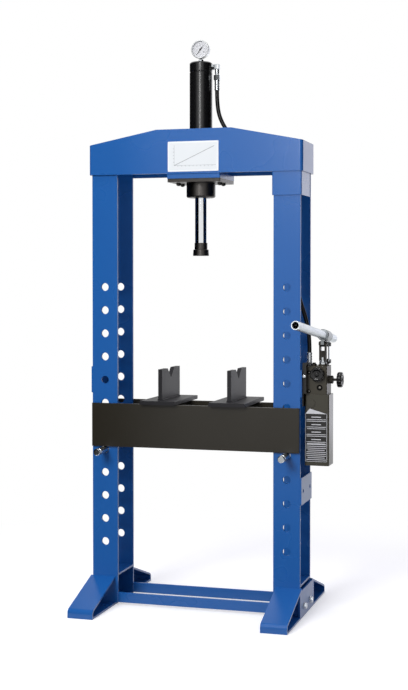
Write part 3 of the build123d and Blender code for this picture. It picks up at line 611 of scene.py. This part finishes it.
def hexagon_recess(piece, across_flats):
    """Pulls the inner ring of a turned screw onto a hexagon."""
    bpy.ops.object.mode_set(mode="OBJECT")
    reach = across_flats / math.sqrt(3) * MM
    for point in piece.data.vertices:
        from_axis = math.hypot(point.co.x, point.co.y)
        if 0 < from_axis < reach * 1.01 and point.co.z > below_recess * MM:
            angle = math.atan2(point.co.y, point.co.x)
            off_flat = (angle + math.pi / 6) % (math.pi / 3) - math.pi / 6
            side = across_flats / 2 * MM / math.cos(off_flat)
            point.co.x, point.co.y = side * math.cos(angle), side * math.sin(angle)
    bpy.ops.object.mode_set(mode="EDIT")


def socket_screw(name, diameter, height, across_flats):
    """A screw that faces +Z, with its seat at zero and a hexagon recess."""
    radius = diameter / 2
    recess = across_flats / math.sqrt(3)
    rings = [(radius - 1, -8), (radius, -7), (radius, height - 0.7), (radius - 0.7, height)]
    screw = turned(name, rings + [(recess, height), (recess, height - 2.6)], 48)
    hexagon_recess(screw, across_flats)
    return screw


head_height = 1.5
screw_plans = ((360, 754, 12, 5.6), (360, 696, 12, 5.6), (393.5, 708, 18, 8.4))
black_screws, painted_highlights = [], []
for x, z, diameter, across_flats in screw_plans:
    spot = at(x, pump_front, z)
    screw = socket_screw("screw", diameter, head_height, across_flats)
    black_screws.append(place(screw, spot, to_front))
    # A pale disc at the bottom of each recess is a painted highlight.
    floor_radius = across_flats * 0.48
    floor_rings = [(floor_radius, -1.4), (floor_radius, -0.9), (floor_radius - 0.5, -0.7)]
    painted_highlights.append(place(turned("recess_highlight_disc", floor_rings, 24), spot, to_front))
black_screws = finished(join(black_screws, "pump_socket_screws"), deep_oxide, "frame")
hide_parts("pump_screws")
# The recess discs get the pale steel of the painted highlight.
finished(join(painted_highlights, "painted_recess_highlights"), recess_highlight_metal, "frame")

# %% Bolts of the pump
bar_inner, bar_outer = 255, 340
bracket_screw_flats, column_bolt_flats, column_bolt_head = 10.5, 13, 5.3
column_bolt_z, column_shank = 712, [(3.5, 0), (4, 0.5), (4, 20)]
pump_bolts = [place(hexagon("bracket_screw", bracket_screw_flats, 5), at(350, 12, 742), to_front)]
for y in (50, 86):
    head = hexagon("column_bolt", column_bolt_flats, column_bolt_head)
    pump_bolts.append(place(head, at(bar_outer - column_bolt_head, y, column_bolt_z), along_x))
    shank = turned("bolt_shank", column_shank, 24)
    pump_bolts.append(place(shank, at(bar_outer, y, column_bolt_z), along_x))
finished(join(pump_bolts, "pump_bolt_set"), zinc, "frame")

# %% [markdown]
# A bright gland nut guides the plunger where it enters the block, and the
# reservoir's sheet has a shallow ring pressed into its front.

# %% Gland and pressed ring
plunger_x, plunger_y, gland_low = 398, 62, 778
gland_rings = [(8.2, 0), (11.5, 0), (12, 0.6), (12, 5.6), (11, 7), (8.6, 7), (8.2, 6.4)]
gland = turned("plunger_gland", gland_rings, hollow=True)
finished(place(gland, at(plunger_x, plunger_y, gland_low)), zinc, "frame")

tank_front = 30
ring_radius, ring_bulge = 11.8, 1.5
deselect()
bpy.ops.mesh.primitive_torus_add(
    major_radius=ring_radius * MM, minor_radius=ring_bulge * MM, major_segments=64, minor_segments=10
)
ring = begin("tank_pressed_ring")
bpy.ops.transform.resize(value=(1, 1, 0.9), center_override=(0, 0, 0))
finished(place(ring, at(368, tank_front, 658), to_front, smooth=60), tank_grey, "frame")

# %% [markdown]
# Inside the cylinder a spring lifts the piston. A Screw modifier sweeps the
# wire's round section up the coil. Its foot rests on the frame and its head
# under the piston.

# %% Return spring
spring_low, spring_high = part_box("return_spring")
wire, coil_radius, coils = 4, 23.6, 9
coil_height = (spring_high.z - spring_low.z) / MM - wire

deselect()
bpy.ops.mesh.primitive_circle_add(
    vertices=12, radius=wire / 2 * MM, location=(coil_radius * MM, 0, 0), rotation=(math.pi / 2, 0, 0)
)
bpy.ops.object.transform_apply(location=True, rotation=True)
spring = bpy.context.object
sweep = spring.modifiers.new("coil", "SCREW")
sweep.axis = "Z"
sweep.screw_offset = coil_height / coils * MM
sweep.iterations = coils
sweep.steps = sweep.render_steps = 32
bpy.ops.object.modifier_apply(modifier=sweep.name)
begin("return_coil")
bpy.ops.mesh.fill_holes(sides=0)
spring_foot = at(0, cylinder_y, wire / 2)
spring_foot.z += spring_low.z
place(spring, spring_foot, smooth=60)
spring.data.materials.append(spring_steel)
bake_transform(spring)
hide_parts("return_spring")
print(spring.name, len(spring.data.polygons), "stretches between frame and rod")

# %% [markdown]
# The feet's side plates are held by hexagon bolts with washers, and their nuts
# sit inside. One set is modelled lying along X and copied to the four places.

# %% Foot bolts
foot_bolt_ys = (33, 119)
foot_bolt_z = 31
foot_outer = 346
lug_face = 334
washer_thickness = 2
washer_rings = [(9.6, 0), (10, 0.4), (10, 1.6), (9.6, washer_thickness)]
bolt_flats, bolt_head, bolt_nut, bolt_radius = 17, 6.4, 8, 5


def foot_bolt():
    """Bolt, washer and nut along Z, with the washer's seat at zero."""
    washer = place(turned("washer", washer_rings, 40))
    head = place(hexagon("bolt_head", bolt_flats, bolt_head), (0, 0, washer_thickness * MM))
    inner = lug_face - foot_outer
    shank_rings = [(bolt_radius - 1, inner - 12), (bolt_radius, inner - 11), (bolt_radius, 0.1)]
    shank = place(turned("bolt_shank", shank_rings, 24))
    nut = place(hexagon("bolt_nut", bolt_flats, bolt_nut), (0, 0, (inner - bolt_nut) * MM))
    return join([washer, head, shank, nut], "foot_bolt")


first_bolt = foot_bolt()
bolts = []
for side in (-1, 1):
    for y in foot_bolt_ys:
        turn = (0, side * math.pi / 2, 0)
        bolts.append(copy_of(first_bolt, at(side * foot_outer, y, foot_bolt_z), turn))
bpy.data.objects.remove(first_bolt)
foot_bolts = finished(join(bolts, "foot_bolt_set"), zinc, "frame")
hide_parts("foot_bolts")

# %% [markdown]
# The two valve knobs are pressed from phenolic, with eight finger grooves. A
# disc with many sides is the start. The vertices near each groove are drawn
# in towards the axis, and the front is raised ring by ring as on a lathe, so
# the grooves fade out towards the middle.

# %% Valve knobs
knob_grooves = 8
groove_depth = 0.13


def grooved(piece, outer):
    """Draws the rim in at each groove, and less so towards the middle."""
    bpy.ops.object.mode_set(mode="OBJECT")
    for corner in piece.data.vertices:
        reach = math.hypot(corner.co.x, corner.co.y)
        if reach < 0.4 * outer * MM:
            continue
        angle = math.atan2(corner.co.y, corner.co.x)
        valley = max(0, math.cos(angle * knob_grooves)) ** 2
        share = (reach / (outer * MM) - 0.4) / 0.6
        factor = 1 - groove_depth * valley * share
        corner.co.x *= factor
        corner.co.y *= factor
    bpy.ops.object.mode_set(mode="EDIT")


def valve_knob(name, diameter, thickness, spindle_from):
    """A knob that faces +Z from zero, with its spindle behind it."""
    radius = diameter / 2
    back = [(8, 0), (3, 0.3), (0.8, 1.6), (0, 4)]
    rim = [(0, 6), (0.8, 3), (3, 1.2), (6, 1), (9, 2.6), (12, 3)]
    hub = [(7.5, 3), (6.6, 0.6), (6, 0), (3, 0), (2.6, 1)]
    rings = [(radius - inwards, height) for inwards, height in back]
    rings += [(radius - inwards, thickness - depth) for inwards, depth in rim]
    rings += [(hub_radius, thickness - depth) for hub_radius, depth in hub]
    knob = turned(name, rings, 96)
    grooved(knob, radius)
    knob = place(knob, smooth=50)
    spindle = place(turned("spindle", [(3.4, spindle_from), (4, spindle_from + 0.6), (4, 0.5)], 24))
    return knob, spindle


knob_plans = (
    ("side_valve_knob", 48, 17, -41, (443, 66, 731), along_x, "side_knob"),
    ("front_valve_knob", 45, 16, -17, (388, 29, 749), to_front, "front_knob"),
)
for body, diameter, thickness, spindle_from, start, turn, node in knob_plans:
    knob, spindle = valve_knob(body, diameter, thickness, spindle_from)
    knob = place(knob, at(*start), turn, smooth=50)
    spindle = place(spindle, at(*start), turn)
    finished(knob, phenolic, body)
    finished(spindle, black_oxide, body).name = body + "_spindle"
    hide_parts(node)

# %% [markdown]
# Weld beads join the plates. A bead is a row of small overlapping scales, each
# left by one pulse of the torch. One scale is modelled, an Array modifier
# repeats it along the seam, and the ends are closed. The bead lies with its
# axis on the seam, so the part that shows is a convex fillet.

# %% Weld beads
ripple_mm = 3.2


def weld_bead(start, end, radius):
    """A rippled bead from one point of the drawing to another."""
    along = Vector(end) - Vector(start)
    count = max(2, round(along.length / ripple_mm))
    pitch = along.length / count
    valley, shoulder = radius * 0.84, radius * 0.97
    scale_rings = [(valley, 0), (radius, pitch * 0.3), (shoulder, pitch * 0.7), (valley, pitch)]
    bead = turned("bead", scale_rings, 10)
    pick_faces(bead, lambda face: abs(face.normal.z) > 0.95 and len(face.verts) > 4)
    bpy.ops.mesh.delete(type="ONLY_FACE")
    bpy.ops.object.mode_set(mode="OBJECT")
    repeat = bead.modifiers.new("scales", "ARRAY")
    repeat.count = count
    repeat.use_relative_offset = False
    repeat.use_constant_offset = True
    repeat.constant_offset_displace = (0, 0, pitch * MM)
    repeat.use_merge_vertices = True
    repeat.merge_threshold = 0.00001
    bpy.ops.object.modifier_apply(modifier=repeat.name)
    bpy.ops.object.mode_set(mode="EDIT")
    bpy.ops.mesh.select_all(action="SELECT")
    bpy.ops.mesh.fill_holes(sides=0)
    turn = along.to_track_quat("Z", "Y").to_euler()
    return place(bead, at(*start), turn, smooth=60)


def upright_bead(x, y, low, high, radius):
    """A bead along Z."""
    return weld_bead((x, y, low), (x, y, high), radius)


# %% Welds of the V-blocks
block_distance, upright_half = 113, 6.5
base_top, weld_front, weld_back = 658, 6, 184
vblock_welds = []
for block_x in (-block_distance, block_distance):
    for x in (block_x - upright_half, block_x + upright_half):
        vblock_welds.append(weld_bead((x, weld_front, base_top), (x, weld_back, base_top), 4))
finished(join(vblock_welds, "vblock_welds"), block_black, "table")

# %% Welds of the table
column_depth = 152
spacer_faces = (226, 236)
spacer_bottom, spacer_top = 530, 600
table_welds = []
for side in (-1, 1):
    for distance in spacer_faces:
        for y in (0, column_depth):
            table_welds.append(upright_bead(side * distance, y, spacer_bottom, spacer_top, 3.5))
finished(join(table_welds, "table_welds"), table_black, "table")

# %% Welds of the frame
bar_thickness = 8
cross_bar_low, cross_bar_high = 9, 39
cheek_bottom, head_plate_half = 1372, 84
side_plates = ((-1, 678, 762), (1, 678, 762), (1, 346.5, 430.5))
front_faces = (0, bar_thickness)
rear_faces = (column_depth - bar_thickness, column_depth)
frame_welds = []
for side in (-1, 1):
    for y in front_faces + rear_faces:
        frame_welds.append(upright_bead(side * bar_inner, y, cross_bar_low, cross_bar_high, 3))
for side, low, high in side_plates:
    for y in (bar_thickness, column_depth - bar_thickness):
        frame_welds.append(upright_bead(side * bar_outer, y, low, high, 2.5))
for y in (-bar_thickness, column_depth + bar_thickness):
    start, end = (-head_plate_half, y, cheek_bottom), (head_plate_half, y, cheek_bottom)
    frame_welds.append(weld_bead(start, end, 3))
finished(join(frame_welds, "frame_welds"), blue_enamel, "frame")

# %% [markdown]
# The gauge's scale is printed in dark grey on a white enamelled dial. One
# tick is a thin flat bar at the top of the dial, copied and turned round the
# axis. Small ticks come every sixtieth of the scale and long ones every
# sixth, with a plain number. Text is turned into a mesh before it is placed.

# %% Gauge scale
gauge_z, dial_y = 1767.5, 70
number_radius, number_size, number_step = 14.2, 3.8, 100
scale_start, scale_sweep = 218, 270
ink_height = 0.12


def flat_bar(name, width, height, centre_z):
    """A thin printed bar that faces the front, above the scene's zero, in mm."""
    deselect()
    bpy.ops.mesh.primitive_plane_add(size=MM, location=(0, 0, centre_z * MM), rotation=to_front)
    bpy.context.object.scale = (width, height, 1)
    bpy.ops.object.transform_apply(location=True, rotation=True, scale=True)
    bar = begin(name)
    bpy.ops.mesh.extrude_region_move(TRANSFORM_OT_translate={"value": (0, -ink_height * MM, 0)})
    return place(bar)


def number(text, size):
    """A plain number that faces the front, as a mesh round the scene's zero."""
    deselect()
    bpy.ops.object.text_add(radius=size * MM)
    letters = bpy.context.object
    letters.data.body = text
    letters.data.align_x = "CENTER"
    letters.data.align_y = "CENTER"
    letters.data.resolution_u = 3
    letters.data.extrude = ink_height / 2 * MM
    bpy.ops.object.convert(target="MESH")
    letters = bpy.context.object
    letters.rotation_euler = to_front
    bpy.ops.object.transform_apply(rotation=True)
    return letters


short_tick = flat_bar("short_tick", 0.3, 1.6, 20.8)
long_tick = flat_bar("long_tick", 0.55, 3, 20.1)
ticks = []
minor_steps, major_steps = 60, 6
for step in range(minor_steps + 1):
    angle = math.radians(scale_start + scale_sweep * step / minor_steps)
    is_long = step % (minor_steps // major_steps) == 0
    ticks.append(copy_of(long_tick if is_long else short_tick, turn=(0, angle, 0)))
for step in range(major_steps + 1):
    angle = math.radians(scale_start + scale_sweep * step / major_steps)
    letters = number(str(step * number_step), number_size)
    reach = number_radius * MM
    ticks.append(place(letters, (reach * math.sin(angle), -ink_height / 2 * MM, reach * math.cos(angle))))
for sample in (short_tick, long_tick):
    bpy.data.objects.remove(sample)
gauge_scale = place(join(ticks, "gauge_scale"), at(0, dial_y, gauge_z))
finished(gauge_scale, scale_ink, "frame")

# %% [markdown]
# The pointer is a thin blade that narrows towards its tip, with a short tail
# and a round hub on the gauge's spindle. It starts as a cube drawn out to a
# bar, and only the face at its tip is made narrower.

# %% Gauge pointer
pointer_tip, pointer_tail = 21.5, 10.5
pointer_back = dial_y - 1
pointer_angle = math.radians(38)

deselect()
bpy.ops.mesh.primitive_cube_add(size=MM)
blade = begin("gauge_pointer")
bpy.ops.transform.resize(value=(3, 0.8, pointer_tip + pointer_tail), center_override=(0, 0, 0))
bpy.ops.transform.translate(value=(0, -0.4 * MM, (pointer_tail - pointer_tip) / 2 * MM))
pick_faces(blade, lambda face: face.normal.z < -0.9)
bpy.ops.transform.resize(value=(0.3, 1, 1), center_override=(0, 0, 0))
blade = place(blade)
hub_rings = [(0.8, -1.8), (1, -1.6), (1, 0.1), (3, 0.1), (3, 1.6), (2.6, 2)]
hub = place(turned("hub", hub_rings, 32), rotation=to_front)
pointer = join([blade, hub], "gauge_pointer")
pointer = place(pointer, at(0, pointer_back, gauge_z), (0, pointer_angle, 0))
finished(pointer, needle_paint, "needle")
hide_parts("gauge_needle")

# %% [markdown]
# The chart plate shows force against pressure. It is kept generic here: a
# pale field, two axes with ticks and one rising line, with no words. Each
# printed line is again a thin flat bar.

# %% Chart on the beam
chart_front = -9.5
chart_left, chart_right, chart_low, chart_high = -83, 82, 1377, 1471
axis_left, axis_right, axis_low, axis_high = -62, 74, 1396, 1459
field_margin = 5


def printed_line(x0, z0, x1, z1, width, y):
    """A printed line between two points of the drawing's front view."""
    run = Vector((x1 - x0, z1 - z0))
    bar = flat_bar("line", width, run.length, 0)
    middle = at((x0 + x1) / 2, y, (z0 + z1) / 2)
    return place(bar, middle, (0, math.atan2(run.x, run.y), 0))


field_width = chart_right - chart_left - 2 * field_margin
field_height = chart_high - chart_low - 2 * field_margin
field = flat_bar("chart_field", field_width, field_height, 0)
field = place(field, at((chart_left + chart_right) / 2, chart_front, (chart_low + chart_high) / 2))
finished(field, field_ink, "frame")

ink_y = chart_front - ink_height
tick_length, tick_width = 3.5, 0.9
chart_lines = [
    printed_line(axis_left, axis_low, axis_left, axis_high, 0.6, ink_y),
    printed_line(axis_left, axis_low, axis_right, axis_low, 0.6, ink_y),
    printed_line(axis_left, axis_low, axis_right - 6, axis_high - 4, 1.3, ink_y),
]
for step in range(1, 11):
    x = axis_left + (axis_right - axis_left) * step / 11
    chart_lines.append(printed_line(x, axis_low - tick_length, x, axis_low, tick_width, ink_y))
for step in range(1, 6):
    z = axis_low + (axis_high - axis_low) * step / 6
    chart_lines.append(printed_line(axis_left - tick_length, z, axis_left, z, tick_width, ink_y))
finished(join(chart_lines, "chart_lines"), line_ink, "frame")

# %% [markdown]
# A printed film covers the reservoir's front. Its words are left off: pale
# stripes stand where its lines of print are, under a pale peaked field.

# %% Label on the reservoir
label_left, label_right, label_low = 349.5, 417.5, 479
label_shoulder, label_peak_x, label_peak = 629, 363.5, 644
film_height = 0.2

deselect()
bpy.ops.mesh.primitive_plane_add(size=1, location=(0, 0, 0), rotation=(math.pi / 2, 0, 0))
bpy.ops.object.transform_apply(rotation=True)
film = begin("label_film")
bpy.ops.mesh.bisect(plane_co=(0, 0, 0), plane_no=(1, 0, 0))
bpy.ops.object.mode_set(mode="OBJECT")
for corner in film.data.vertices:
    high = corner.co.z > 0
    if abs(corner.co.x) < 0.1:
        corner.co.x = label_peak_x
        corner.co.z = label_peak if high else label_low
    else:
        corner.co.x = label_left if corner.co.x < 0 else label_right
        corner.co.z = label_shoulder if high else label_low
    corner.co = at(corner.co.x, tank_front, corner.co.z)
bpy.ops.object.mode_set(mode="EDIT")
bpy.ops.mesh.select_all(action="SELECT")
bpy.ops.mesh.extrude_region_move(TRANSFORM_OT_translate={"value": (0, -film_height * MM, 0)})
film = place(film)
finished(film, label_film, "frame")

print_y = tank_front - film_height
label_middle = (label_left + label_right) / 2
full_half, short_half = 30.5, 15
rule_left, rule_right, rule_low, rule_width = label_left + 0.8, label_right - 0.8, label_low + 1.2, 1.1
stripes = [
    printed_line(rule_left, label_low + 1, rule_left, label_shoulder, rule_width, print_y),
    printed_line(rule_right, label_low + 1, rule_right, label_shoulder - 2, rule_width, print_y),
    printed_line(label_left + 1, rule_low, label_right - 1, rule_low, rule_width, print_y),
]


def print_row(z, half_length, width):
    """One line of print, centred on the label."""
    start, end = label_middle - half_length, label_middle + half_length
    stripes.append(printed_line(start, z, end, z, width, print_y))


first_heading, section_pitch, heading_width, line_width = 617, 23, 2.6, 1.7
first_row, row_pitch, row_width = 533, 5.9, 1.9
for section in range(4):
    heading_z = first_heading - section * section_pitch
    print_row(heading_z, short_half, heading_width)
    print_row(heading_z - 7.6, full_half, line_width)
    print_row(heading_z - 12.8, full_half - 2 * (section % 2), line_width)
for row in range(9):
    print_row(first_row - row_pitch * row, full_half - 4 * (row % 4 == 3), row_width)

deselect()
bpy.ops.mesh.primitive_circle_add(vertices=3, radius=1, location=(0, 0, 0), fill_type="NGON")
peak = begin("peak")
bpy.ops.object.mode_set(mode="OBJECT")
field_low, field_high = label_shoulder - 2, label_peak - 1
corners = ((label_left, field_low), (label_right, field_low), (label_peak_x, field_high))
for corner, (x, z) in zip(peak.data.vertices, corners):
    corner.co = at(x, print_y, z)
bpy.ops.object.mode_set(mode="EDIT")
bpy.ops.mesh.select_all(action="SELECT")
bpy.ops.mesh.extrude_region_move(TRANSFORM_OT_translate={"value": (0, -ink_height * MM, 0)})
stripes.append(place(peak))
finished(join(stripes, "label_stripes"), label_ink, "frame")

# %% [markdown]
# A plain studio. The floor and the world are white to the camera, to mirrors
# and to glass, and much dimmer to everything else, so that white is only seen
# and isn't a lamp. Near the press the floor shows real diffuse light with a
# little glow on top: in the open the two together reach white, and where the
# press keeps the light away its shadow stays. Farther out it is plain white,
# so there is no horizon.

# %% Floor and world
def calculate(tree, operation, first, second):
    """A number made from two others."""
    return add(tree, "ShaderNodeMath", {0: first, 1: second}, operation=operation).outputs[0]


def seen_directly(tree):
    """1 for camera, mirror and glass rays, and 0 for the light that bounces."""
    rays = add(tree, "ShaderNodeLightPath").outputs
    seen = rays["Is Camera Ray"]
    for kind in ("Is Glossy Ray", "Is Transmission Ray"):
        seen = calculate(tree, "MAXIMUM", seen, rays[kind])
    return calculate(tree, "MULTIPLY", seen, calculate(tree, "LESS_THAN", rays["Diffuse Depth"], 0.5))


deselect()
bpy.ops.mesh.primitive_plane_add(size=30, location=(0, 0, -0.0005))
floor = bpy.context.object
floor.name = floor.data.name = "studio_floor"
shadow_from, shadow_to = 0.8, 1.7
floor_glow = 0.42
paper, tree = new_material("white_paper_floor")
distance = add(tree, "ShaderNodeVectorMath", {0: on_object(tree)}, operation="LENGTH")
reach = {"Value": distance.outputs["Value"], "From Min": shadow_from, "From Max": shadow_to}
far = add(tree, "ShaderNodeMapRange", reach, interpolation_type="SMOOTHSTEP")
lit = add(tree, "ShaderNodeBsdfDiffuse", {"Color": linear("#e4e4e4")})
glow = add(tree, "ShaderNodeEmission", {"Strength": floor_glow})
near = add(tree, "ShaderNodeAddShader", {0: lit.outputs[0], 1: glow.outputs[0]})
white = add(tree, "ShaderNodeEmission", {"Strength": 1.0})
shown = mix(tree, far.outputs["Result"], near, white)
dim = add(tree, "ShaderNodeBsdfDiffuse", {"Color": linear("#9a9a9a")})
finish_surface(tree, mix(tree, seen_directly(tree), dim, shown))
floor.data.materials.append(paper)

ambient = 0.44
world = bpy.data.worlds.new("studio")
bpy.context.scene.world = world
world.use_nodes = True
tree = world.node_tree
tree.nodes.clear()
dim = add(tree, "ShaderNodeBackground", {"Color": linear("#eeedff"), "Strength": ambient})
white = add(tree, "ShaderNodeBackground", {"Color": (1, 1, 1, 1), "Strength": 1.0})
room = mix(tree, seen_directly(tree), dim, white)
add(tree, "ShaderNodeOutputWorld", {"Surface": room.outputs[0]})
print("floor and world are white to the camera, ambient light", ambient)

# %% [markdown]
# The key is a large softbox in front, a little to the left, so each front bar
# throws its shade on the bar behind it. A second one hangs overhead. Neither
# shows in reflections: there the paint and the chrome mirror the white room,
# between black cards that the camera doesn't see. The left card darkens the
# left column, and the tall strip light behind the press, on the right, gives
# the faces on that side their pale sheen. A narrow strip in front is only
# mirrored: it draws the upright highlight on the cylinder and the hose.

# %% Lamps and black cards
def softbox(name, location, target, size, power, colour="#ffffff", mirrored=False):
    """An area lamp, width by height, that looks at a point."""
    aim = Vector(target) - Vector(location)
    turn = aim.to_track_quat("-Z", "Y").to_euler()
    bpy.ops.object.light_add(type="AREA", location=location, rotation=turn)
    lamp = bpy.context.object
    lamp.name = name
    lamp.data.shape = "RECTANGLE"
    lamp.data.size, lamp.data.size_y = size
    lamp.data.energy = power
    lamp.data.color = linear(colour)[:3]
    lamp.visible_glossy = mirrored
    lamp.visible_camera = False
    return lamp


softbox("front_softbox", (-0.9, -4.1, 2.7), (0, 0, 0.9), (1.6, 1.6), 140)
softbox("top_softbox", (-0.2, -0.2, 4.2), (0, 0, 0), (2.4, 2.4), 55)
softbox("rear_strip", (1.35, 3.9, 1.6), (0.2, 0, 1.0), (1.3, 4.2), 16, "#f0efff", mirrored=True)
strip = softbox("cylinder_strip", (0.13, -1.93, 1.9), (-0.053, 0.064, 1.6), (0.2, 0.8), 10, mirrored=True)
strip.visible_diffuse = False


def black_card(name, middle, size, rotation):
    """A black rectangle that is seen only in reflections."""
    deselect()
    bpy.ops.mesh.primitive_plane_add(size=1, location=middle)
    card = bpy.context.object
    card.name = card.data.name = name
    card.scale = (*size, 1)
    card.rotation_euler = rotation
    bpy.ops.object.transform_apply(location=True, rotation=True, scale=True)
    card.data.materials.append(card_black)
    card.visible_camera = card.visible_diffuse = card.visible_shadow = card.visible_transmission = False
    return card


def upright_card(name, start, end, low, high):
    """A card that stands between two points of the floor, from one height to another."""
    (x0, y0), (x1, y1) = start, end
    size = (math.hypot(x1 - x0, y1 - y0), high - low)
    turn = (math.pi / 2, 0, math.atan2(y1 - y0, x1 - x0))
    return black_card(name, ((x0 + x1) / 2, (y0 + y1) / 2, (low + high) / 2), size, turn)


card_black, tree = new_material("black_card")
finish_surface(tree, add(tree, "ShaderNodeBsdfDiffuse", {"Color": linear("#0a0a0a")}))
upright_card("left_card", (-0.43, -0.62), (-2.2, 3.2), 0, 2.05)
upright_card("right_card", (3.0, -1.6), (2.2, 3.6), 0, 5)
upright_card("upper_right_card", (0.53, -0.62), (3.0, -1.6), 1.42, 4)
black_card("floor_card", (0.3, -1.45, 0.003), (3, 2.3), (0, 0, 0))
print("lamps and cards are up")
